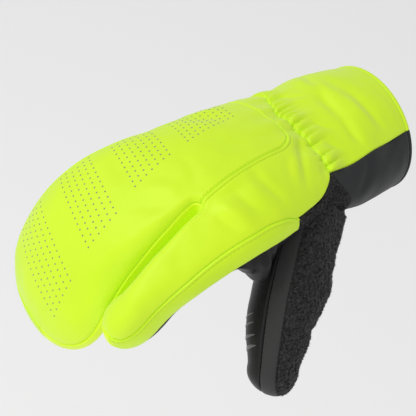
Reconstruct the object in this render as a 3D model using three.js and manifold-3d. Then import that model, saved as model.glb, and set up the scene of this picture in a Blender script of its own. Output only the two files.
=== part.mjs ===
// Lobster claw mitt: a split-finger winter mitt held in the shape of a worn right hand.
// Units are millimetres. The origin is the middle of the cuff mouth, +X runs to the fingertips,
// +Y to the thumb side and +Z out of the back of the hand.
import * as THREE from 'three';
import { mergeVertices } from 'three/addons/utils/BufferGeometryUtils.js';
import Module from 'manifold-3d';

const wasm = await Module();
wasm.setup();

// Lengths along the middle line of the hand, measured from the cuff mouth
const mittLength = 286;
const indexLength = 241;
const slitStart = 160;
const gauntletLength = 76;
const outerGatherLead = 12;
const palmCuffLength = gauntletLength - outerGatherLead;
const backSeamAt = 87;
const backSeamCorner = 15;
const crotchFan = 5;
const thumbFanShare = 0.6;

// Half widths and heights of the hand
const outerReach = 75.3;
const thumbReach = 61.7;
const backRise = 36.6;
const palmDepth = 35.6;
const bigTipLength = 41.4;
const indexTipLength = 23.4;
const indexThinning = 0.93;

// The slit between the index finger and the other three
const slitSide = 22.3;
const backSeamSide = 20.5;
const slitGapAtCrotch = 1.6;
const slitGapAtTips = 4.4;
const slitLipRadius = 7;

// The thumb
const thumbLength = 136;
const thumbRootAlong = 66;
const thumbRootAside = 36;
const thumbRootUp = 1;
const thumbRoll = 79;
const thumbSideReach = 26;
const thumbNailRise = 19;
const thumbPadDepth = 25;
const thumbTipLength = 17;
const thumbStart = 16;

// Walls and clearances
const shellWall = 2.4;
const palmWall = 2.2;
const thumbWall = 2.4;
const seamGap = 0.3;
const thumbClearance = 0.5;
const hemWidth = 3;
const hemLap = 0.5;
const tabWidth = 8;
const tabLength = 11;
const tabThickness = 1.8;
const tabSetback = 16;
const tabTurn = 0.885;

// The gathered wrist; the lead begins and is complete at shares of the outer reach
const gatherDepth = 2.2;
const gatherReach = 9;
const tuckHeight = 0.9;
const tuckPitch = 17;
const gatherLeadFrom = 0.1;
const gatherLeadTo = 0.55;

// The band across the wrist ends at these shares of the notch's distance aside
const bandEndShare = 0.6;
const bandCornerShare = 0.82;

// Where two side strips meet round each tip, as a share of the way from the thumb side
const bigJointShare = 0.42;
const indexJointShare = 0.46;

// How far the body that cuts the thumb reaches before the wrist seam and stops short of the slit
const cutterLead = 45;
const cutterShort = 10;

// A fold keeps this share of a half turn in hand at each end, so that it fades out
const foldEndShare = 0.15;

// How finely each form is divided
const bigRowCount = 8;
const indexRowCount = 7;
const bigColumns = 12;
const indexColumns = 8;
const crotchSteps = 4;
const cornerSteps = 4;
const seamSteps = 6;
const bandSteps = 14;
const palmRowCount = 8;
const stripColumns = 3;
const gussetColumns = 5;
const gussetRows = 6;
const cuffRowCount = 9;
const cuffBackColumns = 14;
const cuffPalmColumns = 16;
const hemSteps = 28;
const thumbRowCount = 10;
const thumbColumns = 8;
const thumbStripColumns = 4;
const handCutterRings = 22;
const handCutterSides = 44;
const thumbCutterRings = 12;
const thumbCutterSides = 32;
const tabCurveSteps = 6;

// Hand sections: place and reaches are shares of the sizes above, angles in degrees
const handSections = [
  { at: 0.000, pitch: 16.0, yaw: -9, outer: 0.697, thumb: 0.687, back: 1.000, palm: 1.000, full: 2.0 },
  { at: 0.110, pitch: 16.5, yaw: -8, outer: 0.714, thumb: 0.838, back: 0.948, palm: 0.947, full: 2.0 },
  { at: 0.220, pitch: 18.0, yaw: -5, outer: 0.648, thumb: 0.911, back: 0.730, palm: 0.722, full: 2.0 },
  { at: 0.300, pitch: 15.0, yaw: -3, outer: 0.647, thumb: 0.919, back: 0.730, palm: 0.722, full: 2.1 },
  { at: 0.393, pitch: 9.0, yaw: -1, outer: 0.665, thumb: 0.971, back: 0.730, palm: 0.722, full: 2.2 },
  { at: 0.488, pitch: -1.0, yaw: 0, outer: 0.725, thumb: 1.000, back: 0.702, palm: 0.668, full: 2.3 },
  { at: 0.560, pitch: -11.0, yaw: -1, outer: 0.830, thumb: 0.960, back: 0.650, palm: 0.584, full: 2.4 },
  { at: 0.645, pitch: -24.0, yaw: -3, outer: 0.928, thumb: 0.898, back: 0.582, palm: 0.514, full: 2.5 },
  { at: 0.740, pitch: -40.0, yaw: -6, outer: 0.980, thumb: 0.815, back: 0.541, palm: 0.472, full: 2.6 },
  { at: 0.834, pitch: -55.0, yaw: -9, outer: 1.000, thumb: 0.797, back: 0.514, palm: 0.444, full: 2.6 },
  { at: 0.934, pitch: -65.0, yaw: -10, outer: 0.968, thumb: 0.827, back: 0.486, palm: 0.419, full: 2.6 },
];

// Thumb sections: shares of the thumb's sizes, angles in degrees; the seams lie at a share of the height
const thumbSections = [
  { at: 0.00, pitch: -30, yaw: 26, side: 0.885, nail: 0.84, pad: 0.84, seam: 0.26, full: 2.2 },
  { at: 0.20, pitch: -31, yaw: 27, side: 0.904, nail: 0.92, pad: 0.92, seam: 0.26, full: 2.2 },
  { at: 0.40, pitch: -32, yaw: 30, side: 0.885, nail: 1.00, pad: 1.00, seam: 0.27, full: 2.2 },
  { at: 0.60, pitch: -33, yaw: 33, side: 0.808, nail: 0.95, pad: 0.99, seam: 0.28, full: 2.2 },
  { at: 0.75, pitch: -35, yaw: 36, side: 0.712, nail: 0.78, pad: 0.89, seam: 0.31, full: 2.3 },
  { at: 0.87, pitch: -38, yaw: 38, side: 0.654, nail: 0.63, pad: 0.74, seam: 0.35, full: 2.3 },
];

// Where the seams run on the rim: share of the section's height, against the share of the length.
// The thumb side has a seam to the back and one to the palm, and the slit one on either side of it.
const stripEdges = [
  { at: 0.25, thumb: 0.20, thumbPalm: -0.45, outer: 0.45, bigLip: 0.85, indexLip: 0.85 },
  { at: 0.35, thumb: 0.20, thumbPalm: -0.24, outer: 0.45, bigLip: 0.85, indexLip: 0.85 },
  { at: 0.40, thumb: 0.21, thumbPalm: -0.13, outer: 0.45, bigLip: 0.85, indexLip: 0.85 },
  { at: 0.43, thumb: 0.34, thumbPalm: -0.12, outer: 0.45, bigLip: 0.85, indexLip: 0.85 },
  { at: 0.49, thumb: 0.44, thumbPalm: -0.12, outer: 0.45, bigLip: 0.85, indexLip: 0.85 },
  { at: 0.56, thumb: 0.45, thumbPalm: -0.18, outer: 0.45, bigLip: 0.85, indexLip: 0.85 },
  { at: 0.63, thumb: 0.46, thumbPalm: -0.30, outer: 0.45, bigLip: 0.68, indexLip: 0.55 },
  { at: 0.72, thumb: 0.46, thumbPalm: -0.42, outer: 0.45, bigLip: 0.40, indexLip: 0.32 },
  { at: 0.84, thumb: 0.46, thumbPalm: -0.45, outer: 0.45, bigLip: 0.22, indexLip: 0.30 },
];
const palmSeamHeight = -0.45;
const bigTipSeamHeight = 0.74;
const indexTipSeamHeight = 0.62;
const cuffSeamHeight = 0.66;
const outerCuffSeamHeight = -0.12;

// The edge of the back panel above the thumb: share of the length and of the section's height
const thumbNotch = [
  { at: 0.266, height: 0.66 },
  { at: 0.290, height: 0.47 },
  { at: 0.325, height: 0.29 },
  { at: 0.395, height: 0.20 },
];

// Main folds of the back: ends as shares of the length and of the reach to either side, then the
// half width and height as shares of the height of the back (a negative height is a dent)
const folds = [
  { fromAlong: 0.16, fromSide: -0.55, toAlong: 0.15, toSide: 0.42, width: 0.14, height: -0.035 },
  { fromAlong: 0.11, fromSide: -0.45, toAlong: 0.07, toSide: 0.45, width: 0.13, height: -0.030 },
  { fromAlong: 0.34, fromSide: 0.72, toAlong: 0.28, toSide: 0.20, width: 0.13, height: -0.040 },
  { fromAlong: 0.52, fromSide: 0.52, toAlong: 0.50, toSide: 0.78, width: 0.14, height: 0.045 },
  { fromAlong: 0.56, fromSide: 0.45, toAlong: 0.45, toSide: 0.52, width: 0.12, height: -0.040 },
  { fromAlong: 0.42, fromSide: -0.70, toAlong: 0.38, toSide: -0.30, width: 0.16, height: -0.050 },
  { fromAlong: 0.58, fromSide: -0.80, toAlong: 0.60, toSide: -0.25, width: 0.18, height: -0.040 },
];

// Mounds of the palm: places as shares of the length and of the reach to the thumb side, then their
// reaches and height as shares of the palm's depth. The one here is the web beside the thumb.
const mounds = [
  { along: 0.455, aside: 0.76, alongReach: 0.53, asideReach: 0.39, height: 0.45 },
];

const sheets = {
  neon: { color: 0xc8f032, roughness: 0.72, metalness: 0 },
  neonTrim: { color: 0xb4dc28, roughness: 0.72, metalness: 0 },
  palm: { color: 0x1c1c1d, roughness: 0.62, metalness: 0 },
  cuffBlack: { color: 0x29292b, roughness: 0.8, metalness: 0 },
  fleece: { color: 0x323234, roughness: 0.95, metalness: 0 },
  strip: { color: 0x373739, roughness: 0.7, metalness: 0 },
};

function smooth(x) {
  const t = Math.min(Math.max(x, 0), 1);
  return t * t * (3 - 2 * t);
}

// Smooth curve through one named column of a table, without overshoot
function column(rows, name, span, scale) {
  const xs = rows.map((row) => row.at * span);
  const ys = rows.map((row) => row[name] * scale);
  const slopes = xs.slice(1).map((x, i) => (ys[i + 1] - ys[i]) / (x - xs[i]));
  const tangent = ys.map((y, i) => {
    if (i === 0) return slopes[0];
    if (i === ys.length - 1) return slopes[slopes.length - 1];
    const product = slopes[i - 1] * slopes[i];
    return product <= 0 ? 0 : (2 * product) / (slopes[i - 1] + slopes[i]);
  });
  return (value) => {
    const x = Math.min(Math.max(value, xs[0]), xs[xs.length - 1]);
    let i = 0;
    while (i < slopes.length - 1 && x > xs[i + 1]) i += 1;
    const run = xs[i + 1] - xs[i];
    const t = (x - xs[i]) / run;
    const rise = ys[i] * (1 + 2 * t) * (1 - t) ** 2 + ys[i + 1] * t * t * (3 - 2 * t);
    return rise + run * t * (1 - t) * (tangent[i] * (1 - t) - tangent[i + 1] * t);
  };
}

// The middle line of a finger or hand, with its side and up directions; gives a placing function
function middleLine(rows, length, root, rollDegrees) {
  const steps = 240;
  const step = length / steps;
  const pitch = column(rows, 'pitch', length, Math.PI / 180);
  const yaw = column(rows, 'yaw', length, Math.PI / 180);
  const roll = THREE.MathUtils.degToRad(rollDegrees);
  const frames = [];
  const point = root.clone();
  for (let i = 0; i <= steps; i += 1) {
    const p = pitch(i * step);
    const w = yaw(i * step);
    const along = new THREE.Vector3(Math.cos(p) * Math.cos(w), Math.cos(p) * Math.sin(w), Math.sin(p));
    const flatSide = new THREE.Vector3(-Math.sin(w), Math.cos(w), 0);
    const flatUp = new THREE.Vector3().crossVectors(along, flatSide);
    if (i > 0) {
      point.addScaledVector(frames[i - 1].along, step / 2);
      point.addScaledVector(along, step / 2);
    }
    const side = flatSide.clone().multiplyScalar(Math.cos(roll)).addScaledVector(flatUp, -Math.sin(roll));
    const up = flatUp.clone().multiplyScalar(Math.cos(roll)).addScaledVector(flatSide, Math.sin(roll));
    frames.push({ point: point.clone(), along, side, up });
  }
  return (s, y, h) => {
    const place = Math.min(Math.max(s / step, 0), steps - 1e-9);
    const i = Math.floor(place);
    const t = place - i;
    const mix = (name) => frames[i][name].clone().lerp(frames[i + 1][name], t);
    const beyond = s - Math.min(Math.max(s, 0), length);
    return mix('point').addScaledVector(mix('along'), beyond)
      .addScaledVector(mix('side'), y).addScaledVector(mix('up'), h);
  };
}

// Height share of a rounded edge at a distance in from it, and the distance at a height share
function roundedEdge(distance, radius, fullness) {
  const t = 1 - Math.min(Math.max(distance / radius, 0), 1);
  return Math.sqrt(Math.max(1 - t ** fullness, 0));
}
function edgeInset(height, radius, fullness) {
  return radius * (1 - (1 - height * height) ** (1 / fullness));
}

const placeHand = middleLine(handSections, mittLength, new THREE.Vector3(), 0);
const outerHalf = column(handSections, 'outer', mittLength, outerReach);
const thumbHalf = column(handSections, 'thumb', mittLength, thumbReach);
const backHeight = column(handSections, 'back', mittLength, backRise);
const palmHeight = column(handSections, 'palm', mittLength, palmDepth);
const fullness = column(handSections, 'full', mittLength, 1);
const halfWidth = (s) => (outerHalf(s) + thumbHalf(s)) / 2;
const slitHalf = (s) => {
  const opening = smooth((s - slitStart) / (indexLength - slitStart));
  return (slitGapAtCrotch + (slitGapAtTips - slitGapAtCrotch) * opening) / 2;
};

// The three-finger pod and the index pod: their edges and how far they have become tubes
function makePod(low, high, tip, tipLength, thinning) {
  const tipStart = tip - tipLength;
  return {
    tipStart,
    tipLength,
    thinning,
    low,
    high,
    half: (s) => (high(s) - low(s)) / 2,
    tubeShare: (s) => smooth((s - slitStart) / (tipStart - slitStart)),
  };
}
const bigPod = makePod((s) => -outerHalf(s), (s) => slitSide - slitHalf(s), mittLength, bigTipLength, 1);
const indexPod = makePod(
  (s) => slitSide + slitHalf(s), thumbHalf, indexLength, indexTipLength, indexThinning);

const gatherLine = (y) => {
  const lead = (-y / outerReach - gatherLeadFrom) / (gatherLeadTo - gatherLeadFrom);
  return gauntletLength - outerGatherLead * smooth(lead);
};

// Wrist gathers and folds, as a rise above the plain back
function backRelief(s, y) {
  const away = s - gatherLine(y);
  const waist = Math.exp(-((away / gatherReach) ** 2));
  const tucks = Math.cos((2 * Math.PI * y) / tuckPitch) * Math.exp(-((away / (2 * gatherReach)) ** 2));
  let rise = tuckHeight * tucks - gatherDepth * waist;
  for (const fold of folds) {
    const sideReach = (share) => share * (share < 0 ? outerReach : thumbReach);
    const from = new THREE.Vector2(fold.fromAlong * mittLength, sideReach(fold.fromSide));
    const run = new THREE.Vector2(fold.toAlong * mittLength, sideReach(fold.toSide)).sub(from);
    const here = new THREE.Vector2(s, y).sub(from);
    const t = THREE.MathUtils.clamp(here.dot(run) / run.lengthSq(), 0, 1);
    const off = here.addScaledVector(run, -t).length() / (fold.width * backRise);
    const fade = Math.sin(Math.PI * THREE.MathUtils.lerp(foldEndShare, 1 - foldEndShare, t));
    rise += fold.height * backRise * fade * Math.exp(-off * off);
  }
  return rise;
}

function palmRelief(s, y) {
  let rise = 0;
  for (const mound of mounds) {
    const along = (s - mound.along * mittLength) / (mound.alongReach * palmDepth);
    const aside = (y - mound.aside * thumbReach) / (mound.asideReach * palmDepth);
    rise += mound.height * palmDepth * Math.exp(-along * along - aside * aside);
  }
  return rise;
}

// Full height at a plan place and the share that each rounded edge leaves of it
function crownHeight(s, back, thinning) {
  const thin = 1 - (1 - thinning) * smooth((s - slitStart) / (indexLength - slitStart));
  return (back ? backHeight(s) : palmHeight(s)) * thin;
}
function podOf(y) {
  return y < slitSide ? bigPod : indexPod;
}
function outerShare(s, y) {
  const share = bigPod.tubeShare(s);
  const radius = THREE.MathUtils.lerp(halfWidth(Math.min(s, slitStart)), bigPod.half(s), share);
  return roundedEdge(y + outerHalf(s), radius, fullness(s));
}
function thumbShare(s, y) {
  const pod = podOf(y);
  const podRadius = pod === indexPod ? indexPod.half(s) : slitLipRadius;
  const radius = THREE.MathUtils.lerp(halfWidth(Math.min(s, slitStart)), podRadius, pod.tubeShare(s));
  return roundedEdge(thumbHalf(s) - y, radius, fullness(s));
}
function lipRadius(s, pod) {
  return THREE.MathUtils.lerp(slitLipRadius, pod.half(s), pod.tubeShare(s));
}
function slitShare(s, y) {
  const short = Math.max(slitStart - s, 0);
  const distance = Math.hypot(short, y - slitSide) - slitHalf(s);
  return roundedEdge(distance, lipRadius(s, podOf(y)), fullness(s));
}

// Raises a plain height by the folds or mounds, which fade out at the rim
function finishHeight(s, y, share, back, thinning) {
  const plain = crownHeight(s, back, thinning) * share;
  return back ? plain + backRelief(s, y) * share * share : -plain - palmRelief(s, y) * share;
}

// The skin over a plan place of the hand, back or palm
function handSkin(s, y, back) {
  const pod = podOf(y);
  let share = 1;
  if (s > pod.tipStart) {
    const middle = (pod.low(pod.tipStart) + pod.high(pod.tipStart)) / 2;
    const across = (y - middle) / pod.half(pod.tipStart);
    const beyond = (s - pod.tipStart) / pod.tipLength;
    share = roundedEdge(1 - Math.hypot(across, beyond), 1, fullness(pod.tipStart));
  } else {
    share = outerShare(s, y) * thumbShare(s, y) * slitShare(s, y);
  }
  return placeHand(s, y, finishHeight(s, y, share, back, s > slitStart ? pod.thinning : 1));
}

// A place on the rim of the hand: a zone, how far along it, and the height share there
function rimSkin(zone, t, height) {
  const back = height >= 0;
  const share = Math.abs(height);
  if (zone === 'outer') {
    const radius = THREE.MathUtils.lerp(
      halfWidth(Math.min(t, slitStart)), bigPod.half(t), bigPod.tubeShare(t));
    const y = -outerHalf(t) + edgeInset(share, radius, fullness(t));
    return placeHand(t, y, finishHeight(t, y, share, back, 1));
  }
  if (zone === 'thumb') {
    const radius = THREE.MathUtils.lerp(
      halfWidth(Math.min(t, slitStart)), indexPod.half(t), indexPod.tubeShare(t));
    const y = thumbHalf(t) - edgeInset(share, radius, fullness(t));
    return placeHand(t, y, finishHeight(t, y, share, back, t > slitStart ? indexPod.thinning : 1));
  }
  if (zone === 'bigSlit' || zone === 'indexSlit' || zone === 'crotch') {
    const place = slitPlan(zone, t, share);
    const total = share * outerShare(place.s, place.y) * thumbShare(place.s, place.y);
    const thinning = zone === 'indexSlit' ? indexPod.thinning : 1;
    return placeHand(place.s, place.y, finishHeight(place.s, place.y, total, back, thinning));
  }
  const pod = zone === 'bigTip' ? bigPod : indexPod;
  const place = tipPlan(pod, t, share);
  return placeHand(place.s, place.y, finishHeight(place.s, place.y, share, back, pod.thinning));
}

// Plan places at a height share: beside the slit, round its crotch and round a pod's tip
function slitPlan(zone, t, share) {
  if (zone === 'crotch') {
    const reach = slitHalf(slitStart) + edgeInset(share, slitLipRadius, fullness(slitStart));
    return { s: slitStart - reach * Math.sin(t), y: slitSide + reach * Math.cos(t) };
  }
  const pod = zone === 'bigSlit' ? bigPod : indexPod;
  const reach = slitHalf(t) + edgeInset(share, lipRadius(t, pod), fullness(t));
  return { s: t, y: slitSide + (zone === 'bigSlit' ? -reach : reach) };
}
function tipPlan(pod, angle, share) {
  const scale = 1 - edgeInset(share, 1, fullness(pod.tipStart));
  const middle = (pod.low(pod.tipStart) + pod.high(pod.tipStart)) / 2;
  return {
    s: pod.tipStart + pod.tipLength * scale * Math.sin(angle),
    y: middle + pod.half(pod.tipStart) * scale * Math.cos(angle),
  };
}

// Height shares of the seams on the back, along the sides and round a tip (angle 0 is the thumb side)
const thumbEdge = column(stripEdges, 'thumb', mittLength, 1);
const thumbPalmEdge = column(stripEdges, 'thumbPalm', mittLength, 1);
const outerEdge = column(stripEdges, 'outer', mittLength, 1);
const bigLip = column(stripEdges, 'bigLip', mittLength, 1);
const indexLip = column(stripEdges, 'indexLip', mittLength, 1);
function tipSeam(pod, angle, back) {
  const lowSide = pod === bigPod ? outerEdge(pod.tipStart) : indexLip(pod.tipStart);
  const highSide = pod === bigPod ? bigLip(pod.tipStart) : thumbEdge(pod.tipStart);
  const top = pod === bigPod ? bigTipSeamHeight : indexTipSeamHeight;
  const side = THREE.MathUtils.lerp(highSide, lowSide, smooth(angle / Math.PI));
  const level = side + (top - side) * Math.sin(angle) ** 2;
  return back ? level : palmSeamHeight;
}

// Columns of a panel are closer together near its edges
function columnShares(count) {
  return Array.from({ length: count + 1 }, (_, j) => 0.5 - 0.5 * Math.cos((Math.PI * j) / count));
}
function tipAngles(count, rows) {
  const risen = rows.map((u) => Math.asin(u * Math.SQRT1_2));
  const across = columnShares(count).slice(1, -1).map((share) => {
    const b = 1 - 2 * share;
    return Math.atan2(Math.sqrt(1 - (b * b) / 2), b * Math.SQRT1_2);
  });
  return [...risen, ...across, ...risen.map((angle) => Math.PI - angle).reverse()];
}

// A patch of skin: points with outward normals and four-sided faces, which may be joined to others
class Patch {
  constructor() {
    this.points = [];
    this.normals = [];
    this.faces = [];
    this.known = new Map();
  }

  vertex(point, normal) {
    const key = [point.x, point.y, point.z].map((v) => Math.round(v * 1e3)).join(',');
    if (!this.known.has(key)) {
      this.known.set(key, this.points.length);
      this.points.push(point);
      this.normals.push(normal);
    }
    return this.known.get(key);
  }

  face(...corners) {
    const ids = corners.filter((id, i) => corners.indexOf(id) === i);
    for (let i = 1; i + 1 < ids.length; i += 1) this.faces.push([ids[0], ids[i], ids[i + 1]]);
  }
}

// Adds a grid of skin places; inset pulls the named edges back by half a seam's gap
function addGrid(patch, rows, skin, inset, outward) {
  const probe = 0.02;
  const grid = rows.map((row) => row.map((place) => {
    const point = skin(place[0], place[1]);
    const alongStep = skin(place[0] + probe, place[1]).sub(skin(place[0] - probe, place[1]));
    const sideStep = skin(place[0], place[1] + probe).sub(skin(place[0], place[1] - probe));
    const normal = alongStep.cross(sideStep).normalize().multiplyScalar(outward);
    return { point, normal };
  }));
  const last = grid.length - 1;
  const pull = (cell, inner) => {
    const step = inner.point.clone().sub(cell.point);
    return step.setLength(Math.min(seamGap / 2, step.length() / 3));
  };
  const moves = [];
  grid.forEach((row, i) => row.forEach((cell, j) => {
    const end = row.length - 1;
    if (inset.start && i === 0) moves.push([cell, pull(cell, grid[1][j])]);
    if (inset.end && i === last) moves.push([cell, pull(cell, grid[last - 1][j])]);
    if (inset.low && j === 0) moves.push([cell, pull(cell, row[1])]);
    if (inset.high && j === end) moves.push([cell, pull(cell, row[end - 1])]);
  }));
  for (const [cell, step] of moves) cell.point.add(step);
  const ids = grid.map((row) => row.map((cell) => patch.vertex(cell.point, cell.normal)));
  for (let i = 0; i < last; i += 1) {
    for (let j = 0; j + 1 < ids[i].length; j += 1) {
      const ring = [ids[i][j], ids[i + 1][j], ids[i + 1][j + 1], ids[i][j + 1]];
      patch.face(...(outward > 0 ? ring : ring.reverse()));
    }
  }
}

// Closes a patch into a wall of even thickness, inwards from the skin
function wallFrom(patch, thickness) {
  const count = patch.points.length;
  const inner = patch.points.map((point, i) => point.clone().addScaledVector(patch.normals[i], -thickness));
  const triangles = [];
  const edges = new Map();
  for (const [a, b, c] of patch.faces) {
    triangles.push([a, b, c], [a + count, c + count, b + count]);
    for (const [from, to] of [[a, b], [b, c], [c, a]]) {
      if (!edges.delete(`${to},${from}`)) edges.set(`${from},${to}`, [from, to]);
    }
  }
  for (const [from, to] of edges.values()) {
    triangles.push([from, to + count, to], [from, from + count, to + count]);
  }
  return geometryOf([...patch.points, ...inner], triangles);
}

function geometryOf(points, triangles) {
  const geometry = new THREE.BufferGeometry();
  geometry.setAttribute('position', new THREE.Float32BufferAttribute(points.flatMap((p) => p.toArray()), 3));
  geometry.setIndex(triangles.flat());
  return geometry;
}

// A closed tube through rings of points, capped at both ends
function ringSolid(rings) {
  const size = rings[0].length;
  const triangles = [];
  for (let i = 0; i + 1 < rings.length; i += 1) {
    for (let j = 0; j < size; j += 1) {
      const a = i * size + j;
      const b = i * size + ((j + 1) % size);
      triangles.push([a, a + size, b], [b, a + size, b + size]);
    }
  }
  const points = rings.flat();
  const capAt = (ring, start, forward) => {
    const middle = new THREE.Vector3();
    ring.forEach((point) => middle.addScaledVector(point, 1 / size));
    points.push(middle);
    for (let j = 0; j < size; j += 1) {
      const pair = [start + j, start + ((j + 1) % size)];
      triangles.push(forward ? [points.length - 1, ...pair] : [points.length - 1, ...pair.reverse()]);
    }
  };
  capAt(rings[0], 0, true);
  capAt(rings[rings.length - 1], (rings.length - 1) * size, false);
  return geometryOf(points, triangles);
}

function solidOf(geometry) {
  const plain = geometry.clone();
  plain.deleteAttribute('normal');
  plain.deleteAttribute('uv');
  const merged = mergeVertices(plain, 1e-4);
  const solid = new wasm.Manifold(new wasm.Mesh({
    numProp: 3,
    vertProperties: new Float32Array(merged.attributes.position.array),
    triVerts: new Uint32Array(merged.index.array),
  }));
  return solid.volume() < 0 ? solidOf(flipped(merged)) : solid;
}
function flipped(geometry) {
  const copy = geometry.clone();
  const index = copy.index.array;
  for (let i = 0; i < index.length; i += 3) [index[i], index[i + 1]] = [index[i + 1], index[i]];
  return copy;
}
function geometryFrom(solid) {
  const mesh = solid.getMesh();
  const geometry = new THREE.BufferGeometry();
  geometry.setAttribute('position', new THREE.BufferAttribute(mesh.vertProperties, 3));
  geometry.setIndex(new THREE.BufferAttribute(mesh.triVerts, 1));
  return geometry;
}
function largest(solid) {
  const pieces = solid.decompose();
  return pieces.reduce((best, piece) => (piece.volume() > best.volume() ? piece : best));
}

function steps(from, to, count) {
  return Array.from({ length: count + 1 }, (_, i) => THREE.MathUtils.lerp(from, to, i / count));
}

// Rows shared by the panels and the strips beside them
const bigRows = steps(slitStart, bigPod.tipStart, bigRowCount);
const indexRows = steps(slitStart, indexPod.tipStart, indexRowCount);
const tipRows = [0.25, 0.5, 0.75, 1];
const crotchAngles = steps(0, Math.PI, crotchSteps);

// Plan rows of a pod from the end of the crotch to its tip
function podPlanRows(pod, rows, columns, back) {
  const shares = columnShares(columns);
  const straight = rows.map((s) => {
    const low = pod === bigPod ? outerPlan(s, back) : slitPlanAt(s, indexPod, back);
    const high = pod === bigPod ? slitPlanAt(s, bigPod, back) : thumbPlan(s, back);
    return shares.map((share) => [s, THREE.MathUtils.lerp(low, high, share)]);
  });
  const curved = tipRows.map((u) => shares.map((share) => {
    const b = 2 * share - 1;
    const across = b * Math.sqrt(1 - (u * u) / 2);
    const beyond = u * Math.sqrt(1 - (b * b) / 2);
    const angle = Math.atan2(beyond, across);
    const edge = tipPlan(pod, angle, Math.abs(tipSeam(pod, angle, back)));
    const middle = (pod.low(pod.tipStart) + pod.high(pod.tipStart)) / 2;
    const reach = Math.hypot(across, beyond);
    return [
      pod.tipStart + (edge.s - pod.tipStart) * reach,
      middle + (edge.y - middle) * reach,
    ];
  }));
  return [...straight, ...curved];
}
function outerPlan(s, back) {
  const radius = THREE.MathUtils.lerp(
    halfWidth(Math.min(s, slitStart)), bigPod.half(s), bigPod.tubeShare(s));
  return -outerHalf(s) + edgeInset(Math.abs(back ? outerEdge(s) : palmSeamHeight), radius, fullness(s));
}
function thumbPlan(s, back) {
  return thumbPlanAt(s, Math.abs(back ? thumbEdge(s) : thumbPalmEdge(s)));
}
function thumbPlanAt(s, share) {
  const radius = THREE.MathUtils.lerp(
    halfWidth(Math.min(s, slitStart)), indexPod.half(s), indexPod.tubeShare(s));
  return thumbHalf(s) - edgeInset(share, radius, fullness(s));
}
function slitPlanAt(s, pod, back) {
  const zone = pod === bigPod ? 'bigSlit' : 'indexSlit';
  const lip = pod === bigPod ? bigLip(s) : indexLip(s);
  return slitPlan(zone, s, Math.abs(back ? lip : palmSeamHeight)).y;
}

// One row of plan places between two ends
function lineRow(from, to, columns) {
  return columnShares(columns).map((share) => [
    THREE.MathUtils.lerp(from[0], to[0], share),
    THREE.MathUtils.lerp(from[1], to[1], share),
  ]);
}

// Crotch ends of a panel: places round the U of the slit, from its apex to one side
function crotchPlaces(pod, back) {
  const share = Math.abs(back ? bigLip(slitStart) : palmSeamHeight);
  const angles = pod === bigPod ? crotchAngles.slice(2, 4) : crotchAngles.slice(1, 3).reverse();
  return angles.map((angle) => {
    const place = slitPlan('crotch', angle, share);
    return [place.s, place.y];
  });
}

// The seam on the back: round its corner by the wrist, then straight to the apex of the crotch
function backSeam() {
  const corner = steps(0, Math.PI / 2, cornerSteps).map((angle) => [
    backSeamAt + backSeamCorner * (1 - Math.cos(angle)),
    backSeamSide - backSeamCorner * (1 - Math.sin(angle)),
  ]);
  const [apexAlong, apexSide] = crotchPlaces(bigPod, true)[0];
  const cornerEnd = backSeamAt + backSeamCorner;
  const stretch = steps(cornerEnd, apexAlong, seamSteps).slice(1, -1).map((s) => {
    const share = (s - cornerEnd) / (apexAlong - cornerEnd);
    return [s, THREE.MathUtils.lerp(backSeamSide, apexSide, share)];
  });
  return { corner, stretch };
}

// Where the index panel's rungs end along the thumb side, from the notch to the crotch
function indexSideStations() {
  const { stretch } = backSeam();
  const apex = crotchPlaces(indexPod, true);
  const start = thumbNotchPlaces()[thumbNotch.length - 1][0];
  return [
    ...stretch.map((place) => (
      THREE.MathUtils.mapLinear(place[0], stretch[0][0], slitStart, start, slitStart))),
    ...apex.map((place, i) => slitStart - crotchFan * (apex.length - i) * thumbFanShare),
  ];
}

// Rows of the three-finger panel behind the crotch: the outer end's place along, then the seam's place
function outerPanelRows() {
  const { corner, stretch } = backSeam();
  const apex = crotchPlaces(bigPod, true);
  return [
    ...[...corner, ...stretch].map((place) => [place[0], place]),
    ...apex.map((place, i) => [slitStart - crotchFan * (apex.length - i), place]),
  ];
}

function outerBackPanel() {
  const rows = outerPanelRows().map(([low, place]) => (
    lineRow([low, outerPlan(low, true)], place, bigColumns)));
  rows.push(...podPlanRows(bigPod, bigRows, bigColumns, true));
  const patch = new Patch();
  addGrid(patch, rows, (s, y) => handSkin(s, y, true), { start: true, end: true, low: true, high: true }, 1);
  return wallFrom(patch, shellWall);
}

function thumbNotchPlaces() {
  return thumbNotch.map((row) => {
    const s = row.at * mittLength;
    return [s, thumbPlanAt(s, row.height)];
  });
}

// The index panel turns from the wrist band into the index finger round the back seam's corner
function indexBackPanel() {
  const notch = thumbNotchPlaces();
  const wristEnd = notch[0];
  const bandLow = outerPlan(backSeamAt, true);
  const rungs = [];
  const cornerSide = backSeamSide - backSeamCorner;
  const wristLow = outerPlan(gatherLine(-outerReach), true);
  for (const share of steps(0, 1, bandSteps)) {
    const inner = THREE.MathUtils.lerp(bandLow, cornerSide, share);
    const outer = THREE.MathUtils.lerp(wristLow, wristEnd[1] * bandEndShare, share);
    rungs.push([[backSeamAt, inner], [gatherLine(outer), outer]]);
  }
  const { corner, stretch } = backSeam();
  const outerCorner = [
    [gatherLine(0), wristEnd[1] * bandCornerShare], wristEnd, notch[1], notch[2],
  ];
  corner.slice(1).forEach((inner, i) => rungs.push([inner, outerCorner[i]]));
  [...stretch, ...crotchPlaces(indexPod, true)].forEach((place, i) => {
    const high = indexSideStations()[i];
    rungs.push([place, [high, thumbPlan(high, true)]]);
  });
  const rows = rungs.map(([inner, outer]) => lineRow(inner, outer, indexColumns));
  rows.push(...podPlanRows(indexPod, indexRows, indexColumns, true));
  const patch = new Patch();
  addGrid(patch, rows, (s, y) => handSkin(s, y, true), { start: true, end: true, low: true, high: true }, 1);
  return wallFrom(patch, shellWall);
}

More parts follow.
